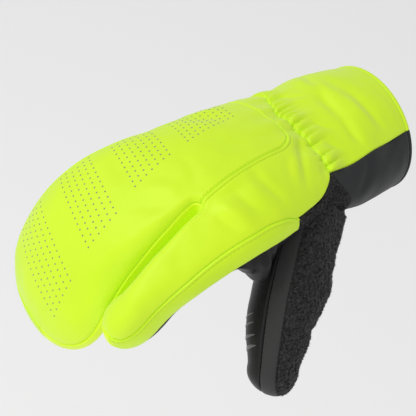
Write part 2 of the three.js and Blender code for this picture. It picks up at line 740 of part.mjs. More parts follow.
// Which way the rim's skin faces in each zone, against the turn from its run to its height
const rimSense = {
  outer: 1, thumb: -1, bigTip: -1, indexTip: -1, bigSlit: -1, crotch: -1, indexSlit: 1,
};

// Strips run along the rim: each place is a zone, how far along it, and its two height shares
function rimStrip(places, columns, wall) {
  return rimWall(places.map(({ zone, t, low, high }) => steps(0, 1, columns).map((share) => (
    { zone, t, height: THREE.MathUtils.lerp(low, high, share) }))), wall);
}
function rimWall(rows, wall) {
  const patch = new Patch();
  const probe = 0.01;
  const grid = rows.map((row) => row.map(({ zone, t, height }) => {
    const point = rimSkin(zone, t, height);
    const along = rimSkin(zone, t + probe, height).sub(rimSkin(zone, t - probe, height));
    const up = rimSkin(zone, t, height + probe).sub(rimSkin(zone, t, height - probe));
    return { point, normal: along.cross(up).normalize().multiplyScalar(rimSense[zone]) };
  }));
  closeStrip(patch, grid);
  return wallFrom(patch, wall);
}

// Pulls a strip's four edges back by half a seam's gap and makes its faces
function closeStrip(patch, grid) {
  const last = grid.length - 1;
  const moves = [];
  grid.forEach((row, i) => row.forEach((cell, j) => {
    const targets = [];
    if (i === 0) targets.push(grid[1][j]);
    if (i === last) targets.push(grid[last - 1][j]);
    if (j === 0) targets.push(row[1]);
    if (j === row.length - 1) targets.push(row[j - 1]);
    targets.forEach((target) => {
      moves.push([cell, target.point.clone().sub(cell.point).setLength(seamGap / 2)]);
    });
  }));
  for (const [cell, step] of moves) cell.point.add(step);
  const ids = grid.map((row) => row.map((cell) => patch.vertex(cell.point, cell.normal)));
  for (let i = 0; i < last; i += 1) {
    for (let j = 0; j + 1 < ids[i].length; j += 1) {
      patch.face(ids[i][j], ids[i + 1][j], ids[i + 1][j + 1], ids[i][j + 1]);
    }
  }
}

const bigTipAngles = tipAngles(bigColumns, tipRows);
const indexTipAngles = tipAngles(indexColumns, tipRows);
const bigJoint = Math.floor(bigTipAngles.length * bigJointShare);
const indexJoint = Math.floor(indexTipAngles.length * indexJointShare);

function outerSideStrip() {
  const low = palmSeamHeight;
  const side = [gatherLine(-outerReach), ...outerPanelRows().map((row) => row[0])];
  const places = [...side, ...bigRows].map((t) => ({ zone: 'outer', t, low, high: outerEdge(t) }));
  const tip = bigTipAngles.slice(bigJoint).reverse();
  places.push(...tip.map((t) => ({ zone: 'bigTip', t, low, high: tipSeam(bigPod, t, true) })));
  return rimStrip(places, stripColumns, shellWall);
}

function slitStrip() {
  const low = palmSeamHeight;
  const tip = bigTipAngles.slice(0, bigJoint + 1).reverse();
  const places = tip.map((t) => ({ zone: 'bigTip', t, low, high: tipSeam(bigPod, t, true) }));
  places.push(...[...bigRows].reverse().map((t) => ({ zone: 'bigSlit', t, low, high: bigLip(t) })));
  const crotch = crotchAngles.slice(1, -1).reverse();
  places.push(...crotch.map((t) => ({ zone: 'crotch', t, low, high: bigLip(slitStart) })));
  places.push(...indexRows.map((t) => ({ zone: 'indexSlit', t, low, high: indexLip(t) })));
  const end = indexTipAngles.slice(indexJoint).reverse();
  places.push(...end.map((t) => ({ zone: 'indexTip', t, low, high: tipSeam(indexPod, t, true) })));
  return rimStrip(places, stripColumns, shellWall);
}

function indexSideStrip() {
  const low = palmSeamHeight;
  const side = indexSideStations();
  const places = indexTipAngles.slice(0, indexJoint + 1).reverse()
    .map((t) => ({ zone: 'indexTip', t, low, high: tipSeam(indexPod, t, true) }));
  places.push(...[...side, ...indexRows].reverse()
    .map((t) => ({ zone: 'thumb', t, low: thumbPalmEdge(t), high: thumbEdge(t) })));
  return rimStrip(places, stripColumns, shellWall);
}

// The wrist seam by the thumb: it runs on from the palm's to the end of the seam beside the thumb
function wristSeamAt(height) {
  return palmCuffLength + outerGatherLead * smooth(height / cuffSeamHeight);
}

// The fleece runs on from the thumb to the wrist seam, under the notch of the back panel
function thumbGusset() {
  const notchHeight = column(thumbNotch, 'height', mittLength, 1);
  const end = thumbNotchPlaces()[thumbNotch.length - 1][0];
  const rows = steps(0, 1, gussetRows).reverse().map((share) => steps(0, 1, gussetColumns).map((rise) => {
    const startHeight = THREE.MathUtils.lerp(palmSeamHeight, cuffSeamHeight, rise);
    const t = THREE.MathUtils.lerp(wristSeamAt(startHeight), end, share);
    const low = thumbPalmEdge(t) + seamGap / palmHeight(t);
    const high = notchHeight(t) - 2 * seamGap / backHeight(t);
    return { zone: 'thumb', t, height: THREE.MathUtils.lerp(low, high, rise) };
  }));
  return rimWall(rows, shellWall);
}

// The palm forks at the slit: two blocks that share the line behind the crotch
function palmPanel() {
  const patch = new Patch();
  const skin = (s, y) => handSkin(s, y, false);
  const bigApex = crotchPlaces(bigPod, false);
  const indexApex = crotchPlaces(indexPod, false);
  const shared = steps(palmCuffLength, bigApex[0][0], palmRowCount).slice(0, -1);
  const bigBlock = shared.map((s) => lineRow([s, outerPlan(s, false)], [s, slitSide], bigColumns));
  const thumbBlock = shared.map((s) => lineRow([s, slitSide], [s, thumbPlan(s, false)], indexColumns));
  bigApex.forEach(([s, y], i) => {
    const low = slitStart - crotchFan * (bigApex.length - i);
    bigBlock.push(lineRow([low, outerPlan(low, false)], [s, y], bigColumns));
    const [s2, y2] = indexApex[i];
    const high = slitStart - crotchFan * (indexApex.length - i) * thumbFanShare;
    thumbBlock.push(lineRow([s2, y2], [high, thumbPlan(high, false)], indexColumns));
  });
  bigBlock.push(...podPlanRows(bigPod, bigRows, bigColumns, false));
  thumbBlock.push(...podPlanRows(indexPod, indexRows, indexColumns, false));
  addGrid(patch, bigBlock, skin, { start: true, end: true, low: true }, -1);
  addGrid(patch, thumbBlock, skin, { start: true, end: true, high: true }, -1);
  return wallFrom(patch, palmWall);
}

// The cuff: the neon half over the back and the black half under the palm, split on both sides
function cuffSide(s, turn) {
  return (thumbHalf(s) - outerHalf(s)) / 2 + halfWidth(s) * Math.cos(turn * 2 * Math.PI);
}
function cuffRing(s, turn) {
  const share = Math.sin(turn * 2 * Math.PI);
  const y = cuffSide(s, turn);
  const height = share >= 0 ? backHeight(s) : palmHeight(s);
  const relief = share >= 0 ? backRelief(s, y) * share * share : 0;
  return placeHand(s, y, height * share + relief);
}
const cuffSeamTurn = Math.asin(cuffSeamHeight) / (2 * Math.PI);
const outerCuffSeamTurn = 0.5 - Math.asin(outerCuffSeamHeight) / (2 * Math.PI);

function cuffPanel(fromTurn, toTurn, endAt, columns, wall) {
  const probe = 0.01;
  const turnProbe = 1e-4;
  const patch = new Patch();
  const rows = steps(0, 1, cuffRowCount).map((share) => steps(fromTurn, toTurn, columns).map((turn) => (
    [share * endAt(turn), turn])));
  const grid = rows.map((row) => row.map(([s, turn]) => {
    const along = cuffRing(s + probe, turn).sub(cuffRing(s - probe, turn));
    const round = cuffRing(s, turn + turnProbe).sub(cuffRing(s, turn - turnProbe));
    return { point: cuffRing(s, turn), normal: round.cross(along).normalize() };
  }));
  closeStrip(patch, grid.reverse());
  return wallFrom(patch, wall);
}

function gauntletBack() {
  const endAt = (turn) => gatherLine(cuffSide(gauntletLength, turn));
  return cuffPanel(cuffSeamTurn, outerCuffSeamTurn, endAt, cuffBackColumns, shellWall);
}
function gauntletPalm() {
  const endAt = (turn) => wristSeamAt(Math.sin(turn * 2 * Math.PI));
  return cuffPanel(outerCuffSeamTurn, cuffSeamTurn + 1, endAt, cuffPalmColumns, palmWall);
}

// Hem round one half of the cuff mouth, lapping the wall on both sides
function cuffHem(fromTurn, toTurn, wall) {
  const probe = 1e-4;
  const setIn = seamGap / (4 * Math.PI * halfWidth(0));
  const rings = steps(fromTurn + setIn, toTurn - setIn, hemSteps).map((turn) => {
    const edge = cuffRing(0, turn);
    const along = cuffRing(1, turn).sub(edge).normalize();
    const round = cuffRing(0, turn + probe).sub(cuffRing(0, turn - probe));
    const out = round.cross(along).normalize();
    const corner = (forward, outward) => edge.clone().addScaledVector(along, forward)
      .addScaledVector(out, outward);
    return [
      corner(-seamGap - hemWidth, hemLap),
      corner(-seamGap, hemLap),
      corner(-seamGap, -wall - hemLap),
      corner(-seamGap - hemWidth, -wall - hemLap),
    ];
  });
  return geometryFrom(solidOf(ringSolid(rings)));
}

// The thumb is a pod of its own on a line that starts inside the hand
const thumbRoot = placeHand(thumbRootAlong, thumbRootAside, thumbRootUp);
const placeThumb = middleLine(thumbSections, thumbLength, thumbRoot, thumbRoll);
const sideHalf = column(thumbSections, 'side', thumbLength, thumbSideReach);
const nailHeight = column(thumbSections, 'nail', thumbLength, thumbNailRise);
const padHeight = column(thumbSections, 'pad', thumbLength, thumbPadDepth);
const thumbFullness = column(thumbSections, 'full', thumbLength, 1);
const thumbTipStart = thumbLength - thumbTipLength;

function thumbSkin(s, y, nail, share) {
  const height = nail ? nailHeight(s) : -padHeight(s);
  return placeThumb(s, y, height * share);
}
function thumbPanelSkin(s, y, nail) {
  const straight = Math.min(s, thumbTipStart);
  const across = y / sideHalf(straight);
  const beyond = Math.max(s - thumbTipStart, 0) / thumbTipLength;
  const share = roundedEdge(1 - Math.hypot(across, beyond), 1, thumbFullness(straight));
  return thumbSkin(s, y, nail, share);
}
const thumbSeam = column(thumbSections, 'seam', thumbLength, 1);
const thumbTipScale = (s) => 1 - edgeInset(thumbSeam(s), 1, thumbFullness(s));
const thumbRowPlaces = steps(thumbStart, thumbTipStart, thumbRowCount);

function thumbPanel(nail) {
  const shares = columnShares(thumbColumns);
  const rows = thumbRowPlaces.map((s) => {
    const reach = sideHalf(s) * thumbTipScale(s);
    return shares.map((share) => [s, reach * (2 * share - 1)]);
  });
  rows.push(...tipRows.map((u) => shares.map((share) => {
    const b = 2 * share - 1;
    const scale = thumbTipScale(thumbTipStart);
    return [
      thumbTipStart + thumbTipLength * scale * u * Math.sqrt(1 - (b * b) / 2),
      sideHalf(thumbTipStart) * scale * b * Math.sqrt(1 - (u * u) / 2),
    ];
  })));
  const patch = new Patch();
  const inset = { end: true, low: true, high: true };
  addGrid(patch, rows, (s, y) => thumbPanelSkin(s, y, nail), inset, nail ? 1 : -1);
  return wallFrom(patch, thumbWall);
}

function thumbRim(sense, t, height) {
  const share = Math.abs(height);
  if (sense === 0) {
    const scale = 1 - edgeInset(share, 1, thumbFullness(thumbTipStart));
    const s = thumbTipStart + thumbTipLength * scale * Math.sin(t);
    const y = sideHalf(thumbTipStart) * scale * Math.cos(t);
    return thumbSkin(s, y, height >= 0, share);
  }
  const y = sense * sideHalf(t) * (1 - edgeInset(share, 1, thumbFullness(t)));
  return thumbSkin(t, y, height >= 0, share);
}

function thumbSideStrip() {
  const angles = tipAngles(thumbColumns, tipRows);
  const places = [
    ...thumbRowPlaces.map((t) => ({ sense: -1, t, facing: 1 })),
    ...angles.reverse().map((t) => ({ sense: 0, t, facing: -1 })),
    ...[...thumbRowPlaces].reverse().map((t) => ({ sense: 1, t, facing: -1 })),
  ];
  const probe = 0.01;
  const grid = places.map(({ sense, t, facing }) => steps(-1, 1, thumbStripColumns).map((share) => {
    const height = share * thumbSeam(sense === 0 ? thumbTipStart : t);
    const along = thumbRim(sense, t + probe, height).sub(thumbRim(sense, t - probe, height));
    const up = thumbRim(sense, t, height + probe).sub(thumbRim(sense, t, height - probe));
    const normal = along.cross(up).normalize().multiplyScalar(facing);
    return { point: thumbRim(sense, t, height), normal };
  }));
  const patch = new Patch();
  closeStrip(patch, grid);
  return wallFrom(patch, thumbWall);
}

// Closed bodies of the hand and of the thumb's lower part, grown by a clearance, for cutting
function handBody(grow) {
  const stations = steps(palmCuffLength - cutterLead, slitStart - cutterShort, handCutterRings);
  const rings = stations.map((s) => steps(0, 1, handCutterSides).slice(0, -1)
    .map((turn) => {
      const angle = turn * 2 * Math.PI;
      const power = 2 / fullness(s);
      const y = Math.sign(Math.cos(angle)) * Math.abs(Math.cos(angle)) ** power * halfWidth(s);
      const middle = (thumbHalf(s) - outerHalf(s)) / 2;
      const back = Math.sin(angle) >= 0;
      const share = roundedEdge(halfWidth(s) - Math.abs(y), halfWidth(s), fullness(s));
      const height = (back ? backHeight(s) : -palmHeight(s)) * share;
      const relief = back ? backRelief(s, middle + y) * share * share : -palmRelief(s, middle + y) * share;
      const level = height + relief;
      const out = new THREE.Vector2(y / halfWidth(s), level / backHeight(s)).normalize();
      return placeHand(s, middle + y + grow * out.x, level + grow * out.y);
    }));
  return solidOf(ringSolid(rings));
}
function thumbBody(grow) {
  const stations = steps(thumbStart, thumbTipStart, thumbCutterRings);
  const rings = stations.map((s) => steps(0, 1, thumbCutterSides).slice(0, -1)
    .map((turn) => {
      const angle = turn * 2 * Math.PI;
      const power = 2 / thumbFullness(s);
      const y = Math.sign(Math.cos(angle)) * Math.abs(Math.cos(angle)) ** power * sideHalf(s);
      const nail = Math.sin(angle) >= 0;
      const share = roundedEdge(1 - Math.abs(y) / sideHalf(s), 1, thumbFullness(s));
      const level = (nail ? nailHeight(s) : -padHeight(s)) * share;
      const out = new THREE.Vector2(y / sideHalf(s), level / nailHeight(s)).normalize();
      return placeThumb(s, y + grow * out.x, level + grow * out.y);
    }));
  return solidOf(ringSolid(rings));
}

// A short end of webbing that stands out of the seam under the cuff
function wristTab() {
  const outline = new THREE.Shape();
  const half = tabWidth / 2;
  outline.moveTo(-half, 0);
  outline.lineTo(half, 0);
  outline.lineTo(half, tabLength - half);
  outline.absarc(0, tabLength - half, half, 0, Math.PI, false);
  const geometry = new THREE.ExtrudeGeometry(outline, {
    depth: tabThickness, bevelEnabled: false, curveSegments: tabCurveSteps,
  });
  const probe = 1e-3;
  const s = palmCuffLength - tabSetback;
  const edge = cuffRing(s, tabTurn);
  const along = cuffRing(s + 1, tabTurn).sub(edge).normalize();
  const round = cuffRing(s, tabTurn + probe).sub(cuffRing(s, tabTurn - probe)).normalize();
  const out = round.clone().cross(along).normalize();
  const across = new THREE.Vector3().crossVectors(out, round).normalize();
  const basis = new THREE.Matrix4().makeBasis(across.negate(), out, new THREE.Vector3()
    .crossVectors(across, out).normalize());
  basis.setPosition(edge.addScaledVector(out, seamGap));
  geometry.applyMatrix4(basis);
  return geometryFrom(solidOf(geometry));
}

const object = new THREE.Group();
function addPiece(name, geometry, sheet) {
  const mesh = new THREE.Mesh(geometry, new THREE.MeshStandardMaterial(sheets[sheet]));
  mesh.name = name;
  object.add(mesh);
}

const thumbCutter = thumbBody(thumbClearance);
const handCutter = handBody(thumbClearance);
const openForThumb = (geometry) => geometryFrom(largest(solidOf(geometry).subtract(thumbCutter)));
const outsideHand = (geometry) => geometryFrom(largest(solidOf(geometry).subtract(handCutter)));

addPiece('back_panel_fingers', outerBackPanel(), 'neon');
addPiece('back_panel_index', openForThumb(indexBackPanel()), 'neon');
addPiece('gauntlet_back', openForThumb(gauntletBack()), 'neon');
addPiece('side_strip_outer', outerSideStrip(), 'neonTrim');
addPiece('side_strip_slit', slitStrip(), 'neonTrim');
addPiece('side_strip_index', openForThumb(indexSideStrip()), 'neonTrim');
addPiece('palm_panel', openForThumb(palmPanel()), 'palm');
addPiece('gauntlet_palm', openForThumb(gauntletPalm()), 'cuffBlack');
addPiece('cuff_hem_back', cuffHem(cuffSeamTurn, outerCuffSeamTurn, shellWall), 'neon');
addPiece('cuff_hem_palm', cuffHem(outerCuffSeamTurn, cuffSeamTurn + 1, palmWall), 'cuffBlack');
addPiece('thumb_fleece', outsideHand(thumbPanel(true)), 'fleece');
addPiece('thumb_gusset', openForThumb(thumbGusset()), 'fleece');
addPiece('thumb_side_strip', outsideHand(thumbSideStrip()), 'strip');
addPiece('thumb_pad', outsideHand(thumbPanel(false)), 'palm');
addPiece('wrist_tab', wristTab(), 'cuffBlack');

export default object;
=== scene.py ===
# %% [markdown]
# A split-finger winter mitt, worn.
# The mitt is sewn from padded cloth panels round a hand: a bright back, bright strips round the
# edge, a black palm and a fleece thumb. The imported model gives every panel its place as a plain
# solid. This script makes each panel again as fine cloth, with its seams, gathers and stitches.

import math

import bpy
import numpy as np
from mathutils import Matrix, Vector


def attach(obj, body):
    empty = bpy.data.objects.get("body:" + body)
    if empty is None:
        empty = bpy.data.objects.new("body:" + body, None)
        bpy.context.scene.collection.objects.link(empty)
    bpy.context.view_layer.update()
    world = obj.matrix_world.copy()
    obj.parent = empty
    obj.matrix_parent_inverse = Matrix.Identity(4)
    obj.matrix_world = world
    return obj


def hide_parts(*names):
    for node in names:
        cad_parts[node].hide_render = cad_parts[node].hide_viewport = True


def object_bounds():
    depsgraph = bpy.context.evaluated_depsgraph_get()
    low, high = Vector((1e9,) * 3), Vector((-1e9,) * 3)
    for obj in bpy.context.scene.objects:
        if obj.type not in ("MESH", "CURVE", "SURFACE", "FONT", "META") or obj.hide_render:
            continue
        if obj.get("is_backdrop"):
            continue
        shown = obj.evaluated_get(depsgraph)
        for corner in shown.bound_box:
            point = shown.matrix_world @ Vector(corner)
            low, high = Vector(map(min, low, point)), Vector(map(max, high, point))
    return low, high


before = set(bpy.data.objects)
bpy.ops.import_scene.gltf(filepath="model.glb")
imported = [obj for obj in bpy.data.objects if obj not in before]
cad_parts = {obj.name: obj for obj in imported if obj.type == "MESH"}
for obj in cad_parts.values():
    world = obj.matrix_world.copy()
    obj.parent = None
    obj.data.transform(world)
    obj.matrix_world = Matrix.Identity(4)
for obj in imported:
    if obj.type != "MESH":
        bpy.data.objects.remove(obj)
cad_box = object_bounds()
print("CAD box in mm:", [[round(v * 1000, 1) for v in corner] for corner in cad_box])

# %% [markdown]
# Everything on the hand is placed in the hand's own space: how far along it, how far aside, and how
# high out of the back. A middle line, bent as the fingers curl, turns that into a place in the frame.
# So each panel is drawn as if the hand were flat, and curls with it. The sizes are in millimetres.

# %% Sizes of the mitt
MM = 0.001
MITT_LENGTH = 286
INDEX_LENGTH = 241
SLIT_START = 160
GAUNTLET_LENGTH = 76
OUTER_GATHER_LEAD = 12
PALM_CUFF_LENGTH = GAUNTLET_LENGTH - OUTER_GATHER_LEAD
BACK_SEAM_AT = 87
BACK_SEAM_CORNER = 15
OUTER_REACH = 75.3
THUMB_REACH = 61.7
BACK_RISE = 36.6
PALM_DEPTH = 35.6
BIG_TIP = 41.4
INDEX_TIP = 23.4
INDEX_THINNING = 0.93
SLIT_SIDE = 22.3
BACK_SEAM_SIDE = 20.5
SLIT_GAPS = (1.6, 4.4)
SLIT_LIP = 7
THUMB_LENGTH = 136
THUMB_ROOT = (66, 36, 1)
THUMB_ROLL = 79
THUMB_SIDE = 26
THUMB_NAIL = 19
THUMB_PAD = 25
THUMB_TIP = 17
THUMB_START = 16
SHELL_WALL = 2.4
PALM_WALL = 2.2
THUMB_WALL = 2.4
SEAM_GAP = 0.3
HEM_WIDTH = 3
HEM_LAP = 0.5
GATHER_DEPTH = 2.2
GATHER_REACH = 9
TUCK_HEIGHT = 0.9
TUCK_PITCH = 17
print("mitt", MITT_LENGTH, "mm long; slit from", SLIT_START)

# %% [markdown]
# The sections of the hand and thumb are short tables: place and reaches as shares of the sizes above,
# angles in degrees. They repeat the solids' own tables, so cloth and solid agree. Only the seams at the
# two fingertips are set higher here than in the solids, where the photo shows them.

# %% Section tables
HAND_COLUMNS = ("at", "pitch", "yaw", "outer", "thumb", "back", "palm", "full")
HAND_SECTIONS = (
    (0.000, 16.0, -9, 0.697, 0.687, 1.000, 1.000, 2.0),
    (0.110, 16.5, -8, 0.714, 0.838, 0.948, 0.947, 2.0),
    (0.220, 18.0, -5, 0.648, 0.911, 0.730, 0.722, 2.0),
    (0.300, 15.0, -3, 0.647, 0.919, 0.730, 0.722, 2.1),
    (0.393, 9.0, -1, 0.665, 0.971, 0.730, 0.722, 2.2),
    (0.488, -1.0, 0, 0.725, 1.000, 0.702, 0.668, 2.3),
    (0.560, -11.0, -1, 0.830, 0.960, 0.650, 0.584, 2.4),
    (0.645, -24.0, -3, 0.928, 0.898, 0.582, 0.514, 2.5),
    (0.740, -40.0, -6, 0.980, 0.815, 0.541, 0.472, 2.6),
    (0.834, -55.0, -9, 1.000, 0.797, 0.514, 0.444, 2.6),
    (0.934, -65.0, -10, 0.968, 0.827, 0.486, 0.419, 2.6),
)
THUMB_COLUMNS = ("at", "pitch", "yaw", "side", "nail", "pad", "seam", "full")
THUMB_SECTIONS = (
    (0.00, -30, 26, 0.885, 0.84, 0.84, 0.26, 2.2),
    (0.20, -31, 27, 0.904, 0.92, 0.92, 0.26, 2.2),
    (0.40, -32, 30, 0.885, 1.00, 1.00, 0.27, 2.2),
    (0.60, -33, 33, 0.808, 0.95, 0.99, 0.28, 2.2),
    (0.75, -35, 36, 0.712, 0.78, 0.89, 0.31, 2.3),
    (0.87, -38, 38, 0.654, 0.63, 0.74, 0.35, 2.3),
)
EDGE_COLUMNS = ("at", "thumb", "thumb_palm", "outer", "big_lip", "index_lip")
STRIP_EDGES = (
    (0.25, 0.20, -0.45, 0.45, 0.85, 0.85),
    (0.35, 0.20, -0.24, 0.45, 0.85, 0.85),
    (0.40, 0.21, -0.13, 0.45, 0.85, 0.85),
    (0.43, 0.34, -0.12, 0.45, 0.85, 0.85),
    (0.49, 0.44, -0.12, 0.45, 0.85, 0.85),
    (0.56, 0.45, -0.18, 0.45, 0.85, 0.85),
    (0.63, 0.46, -0.30, 0.45, 0.68, 0.55),
    (0.72, 0.46, -0.42, 0.45, 0.40, 0.32),
    (0.84, 0.46, -0.45, 0.45, 0.22, 0.30),
)
NOTCH_COLUMNS = ("at", "height")
THUMB_NOTCH = ((0.266, 0.66), (0.290, 0.47), (0.325, 0.29), (0.395, 0.20))
PALM_SEAM = -0.45
BIG_TIP_SEAM = 0.81
INDEX_TIP_SEAM = 0.82
CUFF_SEAM = 0.66
OUTER_CUFF_SEAM = -0.12

# Each fold runs from one place to another: along, aside, along, aside, then its width and height.
FOLDS = (
    (0.16, -0.55, 0.15, 0.42, 0.14, -0.035),
    (0.11, -0.45, 0.07, 0.45, 0.13, -0.030),
    (0.34, 0.72, 0.28, 0.20, 0.13, -0.040),
    (0.52, 0.52, 0.50, 0.78, 0.14, 0.045),
    (0.56, 0.45, 0.45, 0.52, 0.12, -0.040),
    (0.42, -0.70, 0.38, -0.30, 0.16, -0.050),
    (0.58, -0.80, 0.60, -0.25, 0.18, -0.040),
)

# Each mound has a place along and aside, its reach along and aside, and its height.
MOUNDS = ((0.455, 0.76, 0.53, 0.39, 0.45),)
print(len(HAND_SECTIONS), "sections of the hand,", len(THUMB_SECTIONS), "of the thumb")

# %% [markdown]
# A table gives a few sections, and the cloth needs them all. A curve through the rows that never
# overshoots keeps the hand from swelling between two rows, as a plain spline would. The middle line
# adds up small steps in the directions that pitch and yaw give.

# %% Curves through the tables


def smooth(x):
    t = np.clip(x, 0, 1)
    return t * t * (3 - 2 * t)


def mix(a, b, t):
    return a + (b - a) * t


def column(rows, columns, name, span, scale):
    """A smooth curve through one named column of a table, without overshoot."""
    places = np.array([row[0] for row in rows]) * span
    values = np.array([row[columns.index(name)] for row in rows]) * scale
    slopes = np.diff(values) / np.diff(places)
    tangents = np.concatenate(([slopes[0]], np.zeros(len(slopes) - 1), [slopes[-1]]))
    for i in range(1, len(slopes)):
        if slopes[i - 1] * slopes[i] > 0:
            tangents[i] = 2 * slopes[i - 1] * slopes[i] / (slopes[i - 1] + slopes[i])

    def at(place):
        x = np.clip(place, places[0], places[-1])
        i = np.clip(np.searchsorted(places, x, side="right") - 1, 0, len(slopes) - 1)
        run = places[i + 1] - places[i]
        t = (x - places[i]) / run
        rise = values[i] * (1 + 2 * t) * (1 - t) ** 2 + values[i + 1] * t * t * (3 - 2 * t)
        return rise + run * t * (1 - t) * (tangents[i] * (1 - t) - tangents[i + 1] * t)

    return at


def middle_line(rows, columns, length, root, roll_degrees):
    """The bent middle line of a hand or finger, as a function that places (along, aside, up)."""
    stations = np.linspace(0, length, 241)
    pitch = np.radians(column(rows, columns, "pitch", length, 1)(stations))
    yaw = np.radians(column(rows, columns, "yaw", length, 1)(stations))
    along = np.stack([np.cos(pitch) * np.cos(yaw), np.cos(pitch) * np.sin(yaw), np.sin(pitch)], 1)
    flat_side = np.stack([-np.sin(yaw), np.cos(yaw), 0 * yaw], 1)
    flat_up = np.cross(along, flat_side)
    roll = math.radians(roll_degrees)
    side = flat_side * math.cos(roll) - flat_up * math.sin(roll)
    up = flat_up * math.cos(roll) + flat_side * math.sin(roll)
    moves = (along[1:] + along[:-1]) * stations[1] / 2
    point = np.array(root) + np.concatenate([np.zeros((1, 3)), np.cumsum(moves, 0)])

    def place(s, y, h):
        s, y, h = np.broadcast_arrays(*(np.asarray(v, float) for v in (s, y, h)))
        beyond = s - np.clip(s, 0, length)
        parts = []
        for k in range(3):
            at = [np.interp(s, stations, table[:, k]) for table in (point, along, side, up)]
            parts.append(at[0] + at[1] * beyond + at[2] * y + at[3] * h)
        return np.stack(parts, -1)

    return place


place_hand = middle_line(HAND_SECTIONS, HAND_COLUMNS, MITT_LENGTH, (0, 0, 0), 0)
outer_half = column(HAND_SECTIONS, HAND_COLUMNS, "outer", MITT_LENGTH, OUTER_REACH)
thumb_half = column(HAND_SECTIONS, HAND_COLUMNS, "thumb", MITT_LENGTH, THUMB_REACH)
back_height = column(HAND_SECTIONS, HAND_COLUMNS, "back", MITT_LENGTH, BACK_RISE)
palm_height = column(HAND_SECTIONS, HAND_COLUMNS, "palm", MITT_LENGTH, PALM_DEPTH)
fullness = column(HAND_SECTIONS, HAND_COLUMNS, "full", MITT_LENGTH, 1)
print("fingertip at", place_hand(MITT_LENGTH, 0, 0).round(1), "mm")

# %% [markdown]
# A section of the hand is a crown height with its edges rounded off. The slit between the fingers
# rounds both its lips in the same way, so two pods grow out of one hand without a step.

# %% Edges, widths and the two finger pods


def rounded_edge(distance, radius, full):
    t = 1 - np.clip(distance / radius, 0, 1)
    return np.sqrt(np.maximum(1 - t ** full, 0))


def edge_inset(height, radius, full):
    return radius * (1 - (1 - height * height) ** (1 / full))


def half_width(s):
    return (outer_half(s) + thumb_half(s)) / 2


def slit_half(s):
    return mix(*SLIT_GAPS, smooth((s - SLIT_START) / (INDEX_LENGTH - SLIT_START))) / 2


class Pod:
    """One of the two finger pods: its edges, and how far it has become a tube."""

    def __init__(self, low, high, tip, tip_length, thinning):
        self.low = low
        self.high = high
        self.tip_start = tip - tip_length
        self.tip_length = tip_length
        self.thinning = thinning
        self.middle = (low(self.tip_start) + high(self.tip_start)) / 2
        self.tip_half = self.half(self.tip_start)

    def half(self, s):
        return (self.high(s) - self.low(s)) / 2

    def tube(self, s):
        return smooth((s - SLIT_START) / (self.tip_start - SLIT_START))

    def side_radius(self, s):
        return mix(half_width(np.minimum(s, SLIT_START)), self.half(s), self.tube(s))

    def lip_radius(self, s):
        return mix(SLIT_LIP, self.half(s), self.tube(s))


big_pod = Pod(lambda s: -outer_half(s), lambda s: SLIT_SIDE - slit_half(s), MITT_LENGTH, BIG_TIP, 1)
index_pod = Pod(lambda s: SLIT_SIDE + slit_half(s), thumb_half, INDEX_LENGTH, INDEX_TIP, INDEX_THINNING)


print("the wide pod is", round(2 * float(big_pod.tip_half)), "mm wide before its tip")

# %% [markdown]
# The solids have a waist at the wrist, the main folds of the back and a mound at the thumb's root.
# The cloth has to lie on the same forms, so they are worked out here in the same way, and the skin
# puts them on the plain crown. Relief fades with the edge, so a fold never tears the rim.

# %% The skin of the hand


def gather_line(y):
    return GAUNTLET_LENGTH - OUTER_GATHER_LEAD * smooth((-y / OUTER_REACH - 0.1) / 0.45)


def back_relief(s, y):
    """The wrist's waist and the main folds, as a rise above the plain back."""
    away = s - gather_line(y)
    tucks = np.cos(2 * np.pi * y / TUCK_PITCH) * np.exp(-((away / (2 * GATHER_REACH)) ** 2))
    rise = TUCK_HEIGHT * tucks - GATHER_DEPTH * np.exp(-((away / GATHER_REACH) ** 2))
    for fold in FOLDS:
        from_along, from_side, to_along, to_side, width, height = fold
        start = np.array([from_along * MITT_LENGTH, side_place(from_side)])
        run = np.array([to_along * MITT_LENGTH, side_place(to_side)]) - start
        t = np.clip(((s - start[0]) * run[0] + (y - start[1]) * run[1]) / (run @ run), 0, 1)
        off = np.hypot(s - start[0] - t * run[0], y - start[1] - t * run[1]) / (width * BACK_RISE)
        rise = rise + height * BACK_RISE * np.sin(np.pi * mix(0.15, 0.85, t)) * np.exp(-off * off)
    return rise


def palm_relief(s, y):
    rise = 0
    for along, aside, along_reach, aside_reach, height in MOUNDS:
        off_s = (s - along * MITT_LENGTH) / (along_reach * PALM_DEPTH)
        off_y = (y - aside * THUMB_REACH) / (aside_reach * PALM_DEPTH)
        rise = rise + height * PALM_DEPTH * np.exp(-off_s * off_s - off_y * off_y)
    return rise


def side_place(share):
    return share * (OUTER_REACH if share < 0 else THUMB_REACH)


def crown_height(s, back, thinning):
    thin = 1 - (1 - thinning) * smooth((s - SLIT_START) / (INDEX_LENGTH - SLIT_START))
    return np.where(back, back_height(s), palm_height(s)) * thin


def outer_share(s, y):
    return rounded_edge(y + outer_half(s), big_pod.side_radius(s), fullness(s))


def thumb_share(s, y):
    on_index = y >= SLIT_SIDE
    tube = np.where(on_index, index_pod.tube(s), big_pod.tube(s))
    pod_radius = np.where(on_index, index_pod.half(s), SLIT_LIP)
    radius = mix(half_width(np.minimum(s, SLIT_START)), pod_radius, tube)
    return rounded_edge(thumb_half(s) - y, radius, fullness(s))


def slit_share(s, y):
    radius = np.where(y >= SLIT_SIDE, index_pod.lip_radius(s), big_pod.lip_radius(s))
    distance = np.hypot(np.maximum(SLIT_START - s, 0), y - SLIT_SIDE) - slit_half(s)
    return rounded_edge(distance, radius, fullness(s))


def finish_height(s, y, share, back, thinning):
    plain = crown_height(s, back, thinning) * share
    return np.where(back, plain + back_relief(s, y) * share * share, -plain - palm_relief(s, y) * share)


